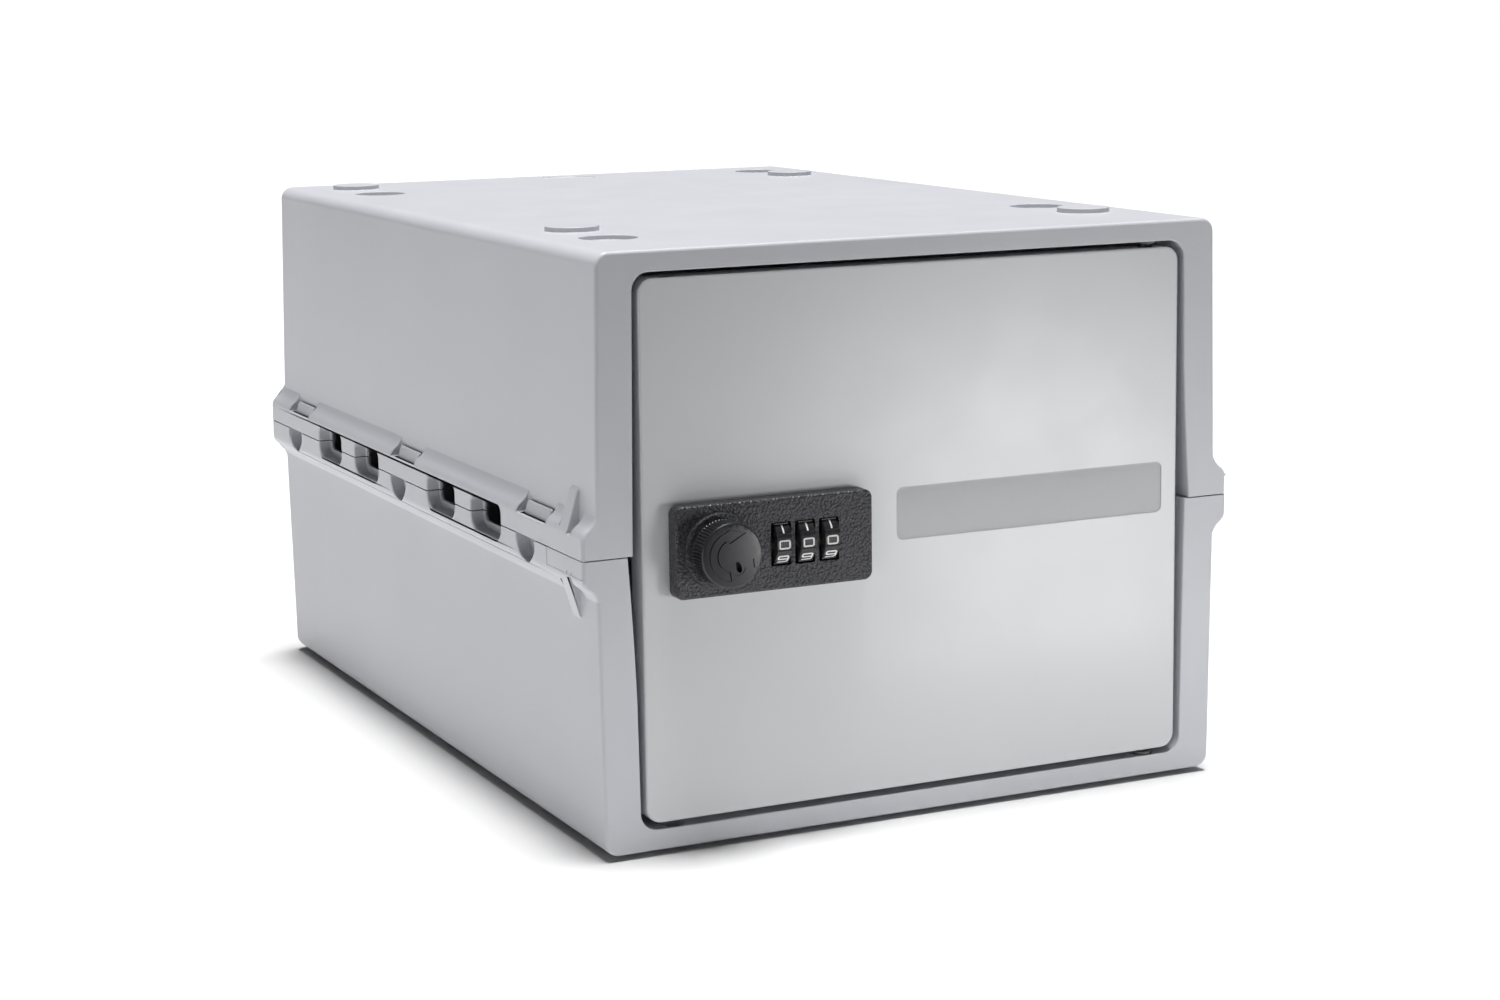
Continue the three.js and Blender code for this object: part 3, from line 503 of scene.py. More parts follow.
def side_box(side, inner, front, bottom, outer, back, top):
    left, right = sorted((side * inner, side * outer))
    return box_parts(left, front, bottom, right, back, top)


def side_prism(side, outline, inner, outer):
    low, high = sorted((side * inner, side * outer))
    return prism_parts(outline, low, high, "X")


def rail(side, notched):
    """One side's rail with its fin; notched for the other half's tongues, or with its own."""
    body = to_mesh_object("rail", *prism_parts(rail_outline(side), FRONT, RAIL_BACK, "Y"))
    inner = RAIL_ROOT - PAST
    cuts = [side_box(side, inner, BLOCK_BACK, NOTCH_FLOOR, RAIL_BEYOND, FIN_FRONT, FIN_TOP)]
    added = [prism_parts(fin_outline(side), FIN_FRONT, FIN_BACK, "Y")]
    for centre in SNAP_CENTRES:
        front, back = centre - NOTCH_LENGTH / 2, centre + NOTCH_LENGTH / 2
        if notched:
            cuts.append(side_box(side, inner, front, NOTCH_FLOOR, RAIL_BEYOND, back, FIN_TOP))
            cuts.append(side_box(
                side, inner, front + POCKET_INSET, -PAST, POCKET_OUTER, back - POCKET_INSET, FIN_TOP
            ))
        else:
            middle = back - SLOT_WIDTH / 2
            slot_front, slot_back = middle - SLOT_WIDTH / 2, middle + SLOT_WIDTH / 2
            radius = SLOT_WIDTH / 2 * 0.98
            outline = rectangle(slot_front, -0.3, slot_back, SLOT_TOP, (0, 0, radius, radius))
            cuts.append(side_prism(side, outline, inner, RAIL_BEYOND))
            # the tongue is rooted beside the slot and hangs across it below the seam
            tongue_front = front + TONGUE_START
            tongue_back = tongue_front + TONGUE_LENGTH
            added.append(prism_parts(tongue_outline(side), tongue_front, slot_front, "Y"))
            hanging = [(x, min(z, 0.0)) for x, z in tongue_outline(side)]
            added.append(prism_parts(hanging, slot_front - PAST, tongue_back, "Y"))
    cut_with(body, cuts)
    combine(body, added, "UNION")
    parts = mesh_parts(body)
    bpy.data.objects.remove(body)
    return parts


def mesh_parts(obj):
    """An object's mesh as (verts, faces) in drawing units."""
    verts = [tuple((v.co - ORIGIN) / MM) for v in obj.data.vertices]
    faces = [tuple(p.vertices) for p in obj.data.polygons]
    return verts, faces


def vent_cuts(side, form):
    """Each vent is a recess in the rail with a smaller hole in the thin wall behind it."""
    cuts = []
    half = VENT_LENGTH / 2
    spread = half + VENT_POCKET["spread"]
    recess_radii = (0, 0, form["radius"], form["radius"])
    wall_radii = (0, 0, form["wall_radius"], form["wall_radius"])
    for centre in VENT_CENTRES:
        front, back = centre - half, centre + half
        recess = rectangle(front, -PAST, back, VENT_TOP - VENT_RIM, recess_radii)
        hole = rectangle(front + VENT_STEP, -PAST, back - VENT_STEP, form["wall_top"], wall_radii)
        cuts.append(side_prism(side, recess, HALF_WIDTH, RAIL_BEYOND))
        cuts.append(side_prism(side, hole, VENT_BACK, RAIL_BEYOND))
        cuts.append(side_box(
            side, VENT_BACK, centre - spread, -PAST,
            VENT_POCKET["outer"], centre + spread, VENT_TOP + VENT_POCKET["top"],
        ))
    return cuts


def opening_outline():
    """The doorway flares a little towards the seam on one side, to let the door's edge swing."""
    half, flared = OPENING_HALF_WIDTH, OPENING_HALF_WIDTH + OPENING_FLARE
    flare = [(flared, -WALL), (flared, SEAM)]
    flare += curve(flare[-1], (half + 0.4, FLARE_TOP / 2), (half, FLARE_TOP))
    straight = rectangle(-half, -WALL, half, OPENING_TOP, OPENING_RADII)
    return straight[:1] + flare + straight[2:]


def half_shell(name):
    """One moulding with its rail, lip, hinge bosses and stacking discs."""
    blank = shell_blank(0, SEAM, HALF_HEIGHT, CROWN_RADIUS, BACK_RADIUS, CROWN_STEPS)
    body = to_mesh_object(name, *blank)
    hollow = shell_blank(WALL, -WALL, HALF_HEIGHT - TOP_WALL, crown=2.0, back=3.0, steps=4)
    cut_with(body, [hollow])
    lip = rectangle(
        -OPENING_HALF_WIDTH - LIP, SEAM,
        OPENING_HALF_WIDTH + OPENING_FLARE + LIP, OPENING_TOP + LIP, OPENING_RADII,
    )
    added = [draft(prism_parts(lip, FRONT + 1, LIP_BACK, "Y"))]
    for x in (-HINGE_X, HINGE_X):
        added.append(box_parts(
            x - BOSS_HALF, BOSS_FRONT, BOSS_BOTTOM,
            x + BOSS_HALF, BOSS_BACK, HALF_HEIGHT - TOP_WALL / 2,
        ))
    added.append(rail(-1, True))
    added.append(rail(1, False))
    for x, y in RAISED:
        added.append(rod_parts(
            "Z", x, y, DISC_RADIUS, HALF_HEIGHT - 0.5, HALF_HEIGHT + DISC_HEIGHT
        ))
    combine(body, added, "UNION")
    doorway = draft(prism_parts(opening_outline(), FRONT - WALL, LIP_BACK + WALL, "Y"))
    cuts = [doorway] + vent_cuts(-1, NOTCHED_VENT) + vent_cuts(1, TONGUED_VENT)
    for x in (-HINGE_X, HINGE_X):
        cuts.append(rod_parts(
            "Z", x, HINGE_Y, BUSH_RADIUS + GAP, BOSS_BOTTOM - PAST, PIN_TOP + 0.8
        ))
    cuts.append(side_box(
        1, RAIL_OUTER - PATCH["depth"], FRONT - PAST, -PAST,
        RAIL_BEYOND, PATCH["back"], RAIL_SHOULDER,
    ))
    above = HALF_HEIGHT + PAST
    for x, y in SUNKEN:
        cuts.append(rod_parts("Z", x, y, SOCKET_RADIUS, HALF_HEIGHT - SOCKET_DEPTH, above))
    cuts.append(rod_parts("Z", *GATE, HALF_HEIGHT - GATE_DEPTH, above))
    cut_with(body, cuts)
    clean(body)
    round_edges(body, shell_edge)
    trim_width(body, RAIL_OUTER)
    clean(body, 0.05)
    return smooth(body)


def shell_edge(a, b):
    """How wide an edge from a to b is rounded; the front frame's outer edge is rounded most."""
    near_x, far_x = sorted((abs(a.x), abs(b.x)))
    low_z, high_z = sorted((abs(a.z), abs(b.z)))
    back_y = max(a.y, b.y)
    at_front = back_y < FRONT + 0.05
    outside = near_x > (OPENING_HALF_WIDTH + HALF_WIDTH) / 2 or low_z > HALF_HEIGHT - 0.5
    if high_z < 2 * SEAM:
        return SEAM_EDGE
    if at_front and outside:
        return FRONT_EDGE
    if at_front and near_x > OPENING_HALF_WIDTH - 1:
        return JAMB_EDGE
    if near_x > RAIL_OUTER - 2 * PATCH["depth"] and back_y < PATCH["back"] + 0.1:
        return PATCH["depth"] / 3
    if far_x < HALF_WIDTH + 0.1 and high_z < RAIL_CREST - 1:
        return WALL_EDGE
    if low_z > HALF_HEIGHT - 2:
        return DISC_EDGE
    if near_x > RAIL_OUTER - 0.05 and low_z < RAIL_SHOULDER:
        return RECESS_EDGE
    return EDGE


# ---- door ----

def door_edge(a, b):
    """How wide an edge from a to b is rounded; those on the front are the label's."""
    return LABEL_EDGE if max(a.y, b.y) < FRONT + 1 else DOOR_BACK_EDGE


def hinge_lug(sign):
    """The block at the top or bottom of the door that the pin goes into."""
    top = DOOR[1].z - 0.5
    ends = sorted((sign * top, sign * (top - PIN_LENGTH)))
    return box_parts(
        HINGE_X - LUG_HALF, FRONT + DOOR_SKIN - OVERLAP, ends[0],
        HINGE_X + LUG_HALF, LUG_BACK, ends[1],
    )


def hinge_hole(sign):
    ends = sorted((sign * (PIN_TOP - PIN_LENGTH - GAP), sign * (PIN_TOP + 2 * PAST)))
    return rod_parts("Z", HINGE_X, HINGE_Y, PIN_RADIUS + GAP, *ends, sides=32)


def rolled_plate(low, high, front, back, corner, edge, steps):
    """A plate across the box whose front rim is rolled back to its sides."""
    rings = []
    for step in range(steps + 1):
        turn = math.pi / 2 * step / steps
        inset = edge * (1 - math.sin(turn))
        outline = rectangle(
            low.x + inset, low.z + inset, high.x - inset, high.z - inset, corner - inset, steps=10
        )
        rings.append((outline, front + edge * (1 - math.cos(turn))))
    rings.append((rings[-1][0], back))
    verts, faces = loft_parts(rings)
    return [(x, y, z) for x, z, y in verts], faces


def door_ribs(low, high):
    """The upright and level ribs across the back of the door; low and high are its corners."""
    front, half = FRONT + DOOR_SKIN - OVERLAP, RIB / 2
    ribs = [
        box_parts(x - half, front, low.z + 1, x + half, RIB_BACK, high.z - 1) for x in RIBS_UPRIGHT
    ]
    return ribs + [
        box_parts(low.x + 1, front, z - half, high.x - 1, RIB_BACK, z + half) for z in RIBS_LEVEL
    ]


def make_door():
    """The door with a hollow back, ribs, hinge lugs, the lock's opening and a blank label."""
    low, high = DOOR
    hollow = rectangle(
        low.x + RIM_WALL, low.z + RIM_WALL, high.x - RIM_WALL, high.z - RIM_WALL,
        DOOR_RADIUS - RIM_WALL + 0.6,
    )
    label = rectangle(
        LABEL["left"], LABEL["bottom"], LABEL["right"], LABEL["top"], LABEL["radius"]
    )
    blank = rolled_plate(
        low, high, FRONT, FRONT + DOOR_RIM, DOOR_RADIUS, DOOR_EDGE, DOOR_EDGE_STEPS
    )
    door = to_mesh_object("door", *blank)
    cut_with(door, [prism_parts(hollow, FRONT + DOOR_SKIN, FRONT + DOOR_RIM + 2 * PAST, "Y")])
    combine(door, door_ribs(low, high) + [hinge_lug(1), hinge_lug(-1)], "UNION")
    half = HOUSING["half"] + GAP
    cut_with(door, [
        hinge_hole(1), hinge_hole(-1),
        box_parts(
            HOUSING["left"] - GAP, FRONT - PAST, LOCK_Z - half,
            HOUSING["right"] + GAP, FRONT + DOOR_SKIN + PAST, LOCK_Z + half,
        ),
        prism_parts(label, FRONT - PAST, FRONT + LABEL["depth"], "Y"),
    ])
    clean(door)
    round_edges(door, door_edge, segments=3, angle=40)
    smooth(door)
    dress(door, "door", "door_plastic", "door_panel")
    door.data.materials.append(MATERIALS["label_grain"])
    for face in door.data.polygons:
        place = (face.center - ORIGIN) / MM
        across = LABEL["left"] < place.x < LABEL["right"]
        up = LABEL["bottom"] < place.z < LABEL["top"]
        deep = abs(place.y - FRONT - LABEL["depth"]) < 0.05
        if across and up and deep:
            face.material_index = 1


# ---- lock ----

LOCK_LOW, LOCK_HIGH = mm_box("lock_faceplate")
LOCK_Z = (LOCK_LOW.z + LOCK_HIGH.z) / 2
PLATE_FRONT = FRONT - 5
PLATE_BACK = FRONT - GAP
PLATE_RADIUS = 2.5
PLATE_EDGE = 0.8
COLLAR_RADIUS = 10.6
COLLAR_FRONT = PLATE_FRONT - 1.4
WINDOW = (6.2, 12.3)        # width and height
WINDOW_SHIFT = -0.3
CHEEKS = (-52.5, -26.5)     # the walls that hold the axle, left and right of the dials
AXLE_RADIUS = 1.5
AXLE_REACH = 1.7            # how far the axle goes past the cheeks
DIAL_NAMES = ["left", "middle", "right"]
DIAL_PLACES = [sum(mm_box(f"dial_{name}"), Vector()) / 2 for name in DIAL_NAMES]
DIAL_RADIUS = 7.5
DIAL_WIDTH = 5.0
DIAL_RIM = 0.3
DIAL_STEP = 36              # degrees from one digit to the next
BORE = 4.3
PANEL_DEPTH = 0.22
PANEL_HALF = 13.5           # degrees from a panel's middle to its end
PANEL_RAMP = 1.5
DIGIT_WIDTH = 3.5
DIGIT_HEIGHT = 2.7
STROKE = 0.48
KNOB_LOW, KNOB_HIGH = mm_box("knob")
KNOB_X = (KNOB_LOW.x + KNOB_HIGH.x) / 2
KNOB_RADIUS = 9.1
KNOB_RIBS = 60
KNOB_DOME = 0.3             # the knob's face is slightly domed
SPINDLE_RADIUS = 3.2
SPINDLE_SQUARE = 0.68       # half the side of its square end, as a share of its radius
HOUSING = {"left": -77.1, "right": -21.1, "half": 10.5, "wall": 1.6, "back": FRONT + 14.5}
FLANGE = {"beyond": 2.8, "thick": 1.6, "radius": 2}
SCREWS = {"left": (-56.2, -6.6), "right": (-24.4, 7.2)}
SCREW_POST = 2.5
SCREW_HOLE = 1.5


def axle_hole():
    """The hole for the dials' axle, through the face plate's relief or the housing's cheeks."""
    dial = DIAL_PLACES[0]
    ends = (CHEEKS[0] - AXLE_REACH, CHEEKS[1] + AXLE_REACH)
    return rod_parts("X", dial.y, dial.z, AXLE_RADIUS + GAP, *ends)


def make_faceplate():
    """The plate with the knob's collar and a window for each dial."""
    blank = rolled_plate(
        LOCK_LOW, LOCK_HIGH, PLATE_FRONT, PLATE_BACK, PLATE_RADIUS, PLATE_EDGE, steps=4
    )
    collar = turned_parts("Y", KNOB_X, LOCK_Z, [
        (PLATE_FRONT + 1, 0), (PLATE_FRONT + 1, COLLAR_RADIUS),
        (COLLAR_FRONT + 0.5, COLLAR_RADIUS), (COLLAR_FRONT + 0.15, COLLAR_RADIUS - 0.15),
        (COLLAR_FRONT, COLLAR_RADIUS - 0.5), (COLLAR_FRONT, 0),
    ], steps=96)
    spindle = (KNOB_X, LOCK_Z, SPINDLE_RADIUS + GAP)
    cuts = [rod_parts("Y", *spindle, COLLAR_FRONT - PAST, FRONT + PAST)]
    width, height = WINDOW
    for place in DIAL_PLACES:
        left = place.x + WINDOW_SHIFT - width / 2
        right = left + width
        window = rectangle(left, LOCK_Z - height / 2, right, LOCK_Z + height / 2, 0.5, steps=3)
        cuts.append(prism_parts(window, PLATE_FRONT - PAST, FRONT + PAST, "Y"))
        cuts.append(rod_parts("X", place.y, place.z, DIAL_RADIUS + GAP, left, right, sides=64))
    cuts.append(rod_parts("X", DIAL_PLACES[0].y, DIAL_PLACES[0].z, BORE, *CHEEKS))
    cuts.append(axle_hole())
    plate = solid("faceplate", blank, cuts, [collar], width=0.12, angle=50)
    dress(plate, "door", "lock_black", "lock_faceplate")


def make_housing():
    """The box behind the door, with cheeks for the axle, screw posts and a flange."""
    left, right, half = HOUSING["left"], HOUSING["right"], HOUSING["half"]
    wall, back = HOUSING["wall"], HOUSING["back"]
    bottom, top = LOCK_Z - half, LOCK_Z + half
    beyond = FLANGE["beyond"]
    outline = rectangle(
        left - beyond, bottom - beyond, right + beyond, top + beyond, FLANGE["radius"]
    )
    flange_front = FRONT + DOOR_SKIN + GAP
    flange = prism_parts(outline, flange_front, flange_front + FLANGE["thick"], "Y")
    hollow = box_parts(
        left + wall, FRONT - PAST, bottom + wall, right - wall, back - wall, top - wall
    )
    inner = half - wall + OVERLAP
    blank = box_parts(left, FRONT, bottom, right, back, top)
    body = solid("housing", blank, [hollow], [flange], width=0.4, segments=3)
    cheek_back = DIAL_PLACES[0].y + 5
    inside = [
        box_parts(x - 0.8, FRONT + 0.4, LOCK_Z - inner, x + 0.8, cheek_back, LOCK_Z + inner)
        for x in CHEEKS
    ]
    screws = [("Y", x, LOCK_Z + z) for x, z in SCREWS.values()]
    inside += [rod_parts(*place, SCREW_POST, FRONT, back - 1) for place in screws]
    combine(body, inside, "UNION")
    holes = [
        axle_hole(),
        rod_parts("Y", KNOB_X, LOCK_Z, SPINDLE_RADIUS + GAP, FRONT, back + PAST),
        rod_parts("Y", DIAL_PLACES[1].x, LOCK_Z, 1.8, back - 3, back + PAST),
    ]
    holes += [rod_parts(*place, SCREW_HOLE, FRONT - PAST, back + PAST) for place in screws]
    cut_with(body, holes)
    dress(smooth(body), "door", "lock_black", "lock_housing")


def make_dial(name, place):
    """A number wheel: ten sunken panels for the digits between ten raised bands."""
    def panel(turn):
        from_middle = abs((turn + DIAL_STEP / 2) % DIAL_STEP - DIAL_STEP / 2)
        return min(1.0, max(0.0, (PANEL_HALF - from_middle) / PANEL_RAMP))

    half, shoulder = DIAL_WIDTH / 2, DIAL_RADIUS - DIAL_RIM
    face = [
        (half - DIAL_RIM, DIAL_RADIUS, PANEL_DEPTH), (half - 0.08, shoulder, PANEL_DEPTH),
        (half, shoulder - 0.25, 0.4), (half, BORE),
    ]
    profile = [(-along, *rest) for along, *rest in face[::-1]] + face
    profile = [(place.x + along, *rest) for along, *rest in profile]
    turned = turned_parts("X", place.y, place.z, profile, steps=240, ripple=panel)
    wheel = to_mesh_object(f"wheel_{name}", *turned)
    dress(smooth(wheel, 40), f"dial_{name}", "dial_black", f"dial_{name}")
    digits = to_mesh_object(f"digits_{name}", *merged([
        wrapped_stroke(place, number, path, closed) for number in range(10)
        for path, closed in digit_strokes(number)
    ]))
    dress(smooth(digits, 40), f"dial_{name}", "bush_plastic", look="digit_white")


def rounded_path(points, radius, closed=False):
    """A path through points with its corners rounded."""
    count = len(points)
    path = []
    for i, point in enumerate(points):
        if not closed and i in (0, count - 1):
            path.append(point)
            continue
        here = Vector(point)
        before, after = Vector(points[i - 1]), Vector(points[(i + 1) % count])
        start = here + (before - here).normalized() * radius
        end = here + (after - here).normalized() * radius
        path.append(tuple(start))
        path += curve(tuple(start), point, tuple(end), 4)
    return path


def digit_strokes(number):
    """A digit's strokes, as paths about its middle, each with whether it is closed."""
    w, h = (DIGIT_WIDTH - STROKE) / 2, (DIGIT_HEIGHT - STROKE) / 2
    corner = 0.45
    loop = [(-w, -h), (w, -h), (w, h), (-w, h)]
    paths = [
        [loop],
        [[(0, -h - STROKE / 2), (0, h + STROKE / 2)]],
        [[(-w, h), (w, h), (w, 0), (-w, 0), (-w, -h), (w, -h)]],
        [[(-w, h), (w, h), (w, -h), (-w, -h)], [(-w * 0.6, 0), (w, 0)]],
        [[(-w, h), (-w, 0), (w, 0)], [(w * 0.5, h), (w * 0.5, -h)]],
        [[(w, h), (-w, h), (-w, 0), (w, 0), (w, -h), (-w, -h)]],
        [[(w, h), (-w, h), (-w, -h), (w, -h), (w, 0), (-w, 0)]],
        [[(-w, h), (w, h), (0, -h)]],
        [loop, [(-w, 0), (w, 0)]],
        [[(-w, -h), (w, -h), (w, h), (-w, h), (-w, 0), (w, 0)]],
    ]
    return [(rounded_path(path, corner, path is loop), path is loop) for path in paths[number]]


def divided(path, longest, closed):
    """A path with points added so that no step is longer than given."""
    points = [Vector(p) for p in path]
    ends = points[1:] + points[:1] if closed else points[1:]
    finer = []
    for start, end in zip(points, ends):
        steps = max(1, math.ceil((end - start).length / longest))
        finer += [tuple(start.lerp(end, i / steps)) for i in range(steps)]
    return finer if closed else finer + [tuple(points[-1])]


def wrapped_stroke(place, number, path, closed):
    """A stroke as a thin plate around a wheel, standing a little proud of its panel."""
    inner, outer = DIAL_RADIUS - PANEL_DEPTH - 0.1, DIAL_RADIUS - PANEL_DEPTH + 0.07
    left, right = ribbon(divided(path, 0.35, closed), STROKE, closed)
    count = len(left)
    verts = []
    for radius in (inner, outer):
        for u, v in left + right:
            turn = math.radians(DIAL_STEP * number) + v / DIAL_RADIUS
            across, up = radius * math.cos(turn), radius * math.sin(turn)
            verts.append((place.x + u, place.y - across, place.z + up))
    faces = []
    for i in range(count if closed else count - 1):
        j = (i + 1) % count
        faces += [
            (i, j, count + j, count + i),
            (2 * count + i, 2 * count + j, 3 * count + j, 3 * count + i),
            (i, j, 2 * count + j, 2 * count + i),
            (count + i, count + j, 3 * count + j, 3 * count + i),
        ]
    if not closed:
        for i in (0, count - 1):
            faces.append((i, count + i, 3 * count + i, 2 * count + i))
    return verts, faces


def on_knob(points):
    """Points on the knob's face, from units of its radius about its middle."""
    return [(KNOB_X + u * KNOB_RADIUS, LOCK_Z + v * KNOB_RADIUS) for u, v in points]


def knob_mark(points, width=0.34, depth=0.45, closed=False):
    """A groove in the knob's face along a path in units of its radius."""
    left, right = ribbon(on_knob(points), width, closed)
    outlines = [left + right[::-1]]
    if closed:
        outlines = [[left[i], left[i + 1], right[i + 1], right[i]] for i in range(-len(left), 0)]
    front, back = KNOB_LOW.y - PAST, KNOB_LOW.y + depth
    return [prism_parts(outline, front, back, "Y") for outline in outlines]


def make_knob():
    """The knob with its ribbed side; its face has an engraved arrow and a code finder slot."""
    front, back, radius, rib = KNOB_LOW.y, KNOB_HIGH.y, KNOB_RADIUS, 0.34

    def ripple(turn):
        return abs((turn * KNOB_RIBS / 360) % 1 * 2 - 1)

    crown = [(front + KNOB_DOME * (r / 5) ** 2, (radius - 0.55) * r / 5) for r in range(6)]
    profile = crown + [
        (front + KNOB_DOME + 0.12, radius - 0.3), (front + KNOB_DOME + 0.45, radius),
        (front + 1.1, radius), (front + 1.35, radius, rib), (back - 0.6, radius, rib),
        (back - 0.35, radius), (back, radius - 0.2), (back, 0),
    ]
    turned = turned_parts("Y", KNOB_X, LOCK_Z, profile, KNOB_RIBS * 4, ripple)
    body = to_mesh_object("knob_cap", *turned)
    spindle = (KNOB_X, LOCK_Z, SPINDLE_RADIUS + GAP)
    cut_with(body, [rod_parts("Y", *spindle, front + 2.5, back + PAST)])
    inner = arc(0, 0, 0.5, 258, 112, 24)
    outer = arc(0, 0, 0.76, 106, 266, 24)
    arrow = inner + [(-0.08, 0.4), (0.42, 0.67), (-0.1, 0.82)] + outer
    slot = [
        (0.19 + 0.09 * u - 0.06 * v, -0.36 + 0.03 * u + 0.17 * v)
        for u, v in arc(0, 0, 1, 0, 360, 24)[:-1]
    ]
    marks = knob_mark(arrow, closed=True)
    marks += knob_mark(arc(0.17, -0.36, 0.24, -130, -5, 12), width=0.25, depth=0.3)
    marks += knob_mark([(0.68, -0.15), (0.72, -0.42)], width=0.35)
    marks.append(prism_parts(on_knob(slot), front - PAST, front + 1.5, "Y"))
    cut_with(body, marks)
    clean(body, 0.1)
    dress(smooth(body, 30), "knob", "knob_black", "knob")


# ---- small parts of the lock and hinge ----

def screw(name, node, body, x, z, head, height, shank):
    """A pan-head screw with a slot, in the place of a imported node; it points to the front."""
    low, high = mm_box(node)
    end, front = low.y, high.y - height
    profile = [
        (end, 0), (end + 0.3, shank), (front, shank), (front, head), (front + height * 0.4, head),
        (front + height * 0.8, head * 0.85), (front + height, head * 0.5), (front + height, 0),
    ]
    slot = box_parts(
        x - head - PAST, front + height * 0.6, z - 0.4,
        x + head + PAST, front + height + PAST, z + 0.4,
    )
    turned = turned_parts("Y", x, z, profile, steps=48)
    dress(solid(name, turned, [slot], width=0.08, angle=30), body, "steel", node)


def ring_profile(low, high, bore, radius, edge=0.2):
    """A washer's or bush's section, with its outer edges broken."""
    return [
        (low, bore), (low, radius - edge), (low + edge, radius),
        (high - edge, radius), (high, radius - edge), (high, bore),
    ]


def make_cam():
    """The tongue that locks the door, with its washer and screw."""
    low, high = mm_box("cam_tongue")
    half = SPINDLE_RADIUS * SPINDLE_SQUARE + GAP
    outline = rectangle(low.x, low.z, high.x, high.z, (5.5, 5.5, 2, 2), steps=8)
    hole = box_parts(
        KNOB_X - half, low.y - PAST, LOCK_Z - half, KNOB_X + half, high.y + PAST, LOCK_Z + half
    )
    blank = prism_parts(outline, low.y, high.y, "Y")
    cam = solid("cam", blank, [hole], width=0.25, segments=3)
    dress(cam, "knob", "steel", "cam_tongue")

    low, high = mm_box("cam_washer")
    profile = ring_profile(low.y, high.y, bore=1.5, radius=4.8)
    washer = to_mesh_object("washer", *turned_parts("Y", KNOB_X, LOCK_Z, profile))
    dress(smooth(washer), "knob", "steel", "cam_washer")

    screw("cam_fixing", "cam_screw", "knob", KNOB_X, LOCK_Z, head=3.0, height=1.8, shank=1.1)


def make_housing_screws():
    for name, (x, z) in SCREWS.items():
        names = (f"housing_fixing_{name}", f"housing_screw_{name}")
        screw(*names, "door", x, LOCK_Z + z, head=2.4, height=1.3, shank=1.2)


def make_code_lever():
    """The brass key that is turned to set a new code: a slotted disc with an arm."""
    low, high = mm_box("code_change_lever")
    x, front = DIAL_PLACES[1].x, high.y - 1.2
    outline = rectangle(x - 1.2, LOCK_Z - 7, x + 1.2, LOCK_Z, (1.1, 1.1, 0, 0))
    arm = prism_parts(outline, front, high.y, "Y")
    disc = turned_parts("Y", x, LOCK_Z, [
        (low.y, 0), (low.y, 1.4), (front, 1.4), (front, 3), (high.y, 3), (high.y, 0)
    ])
    slot = box_parts(x - 0.35, front + 0.7, LOCK_Z - 2.4, x + 0.35, high.y + PAST, LOCK_Z + 2.4)
    lever = solid("code_lever_key", disc, [slot], [arm], width=0.12)
    dress(lever, "code_lever", "brass", "code_change_lever")


def make_hinge():
    """The pins, which turn with the door, and the bushes that stay in the shells."""
    pin_profile = [(0, 0), (0, PIN_RADIUS - 0.4), (-0.4, PIN_RADIUS)]
    pin_profile += [(-PIN_LENGTH - along, radius) for along, radius in pin_profile[::-1]]
    bush_profile = ring_profile(0, BUSH_LENGTH, BUSH_BORE, BUSH_RADIUS)
    for name, sign in (("upper", 1), ("lower", -1)):
        profile = [(sign * (PIN_TOP + along), radius) for along, radius in pin_profile]
        pin = to_mesh_object(f"pin_{name}", *turned_parts("Z", HINGE_X, HINGE_Y, profile, 48))
        dress(smooth(pin), "door", "steel", f"hinge_pin_{name}", look="dark_steel")
        bottom = BOSS_BOTTOM + GAP
        profile = [(sign * (bottom + along), radius) for along, radius in bush_profile]
        bush = to_mesh_object(f"bush_{name}", *turned_parts("Z", HINGE_X, HINGE_Y, profile, 48))
        dress(smooth(bush), "box", "bush_plastic", f"hinge_bush_{name}")


def finish_carried_over():
    """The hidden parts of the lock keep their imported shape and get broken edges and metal."""
    looks = dict.fromkeys(["dial_axle", "detent_spring", "locking_fence", "knob_spindle"], "steel")
    looks |= {f"dial_sleeve_{name}": "brass" for name in DIAL_NAMES}
    for node, look in looks.items():
        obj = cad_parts[node]
        obj.data.materials.clear()
        obj.data.materials.append(MATERIALS[look])
        bevel = obj.modifiers.new("edges", "BEVEL")
        bevel.width = 0.12 * MM
        bevel.segments = 2
        bevel.limit_method = "ANGLE"
        bevel.angle_limit = math.radians(40)


# ---- materials ----

NOISE = (0.3, 0.7)


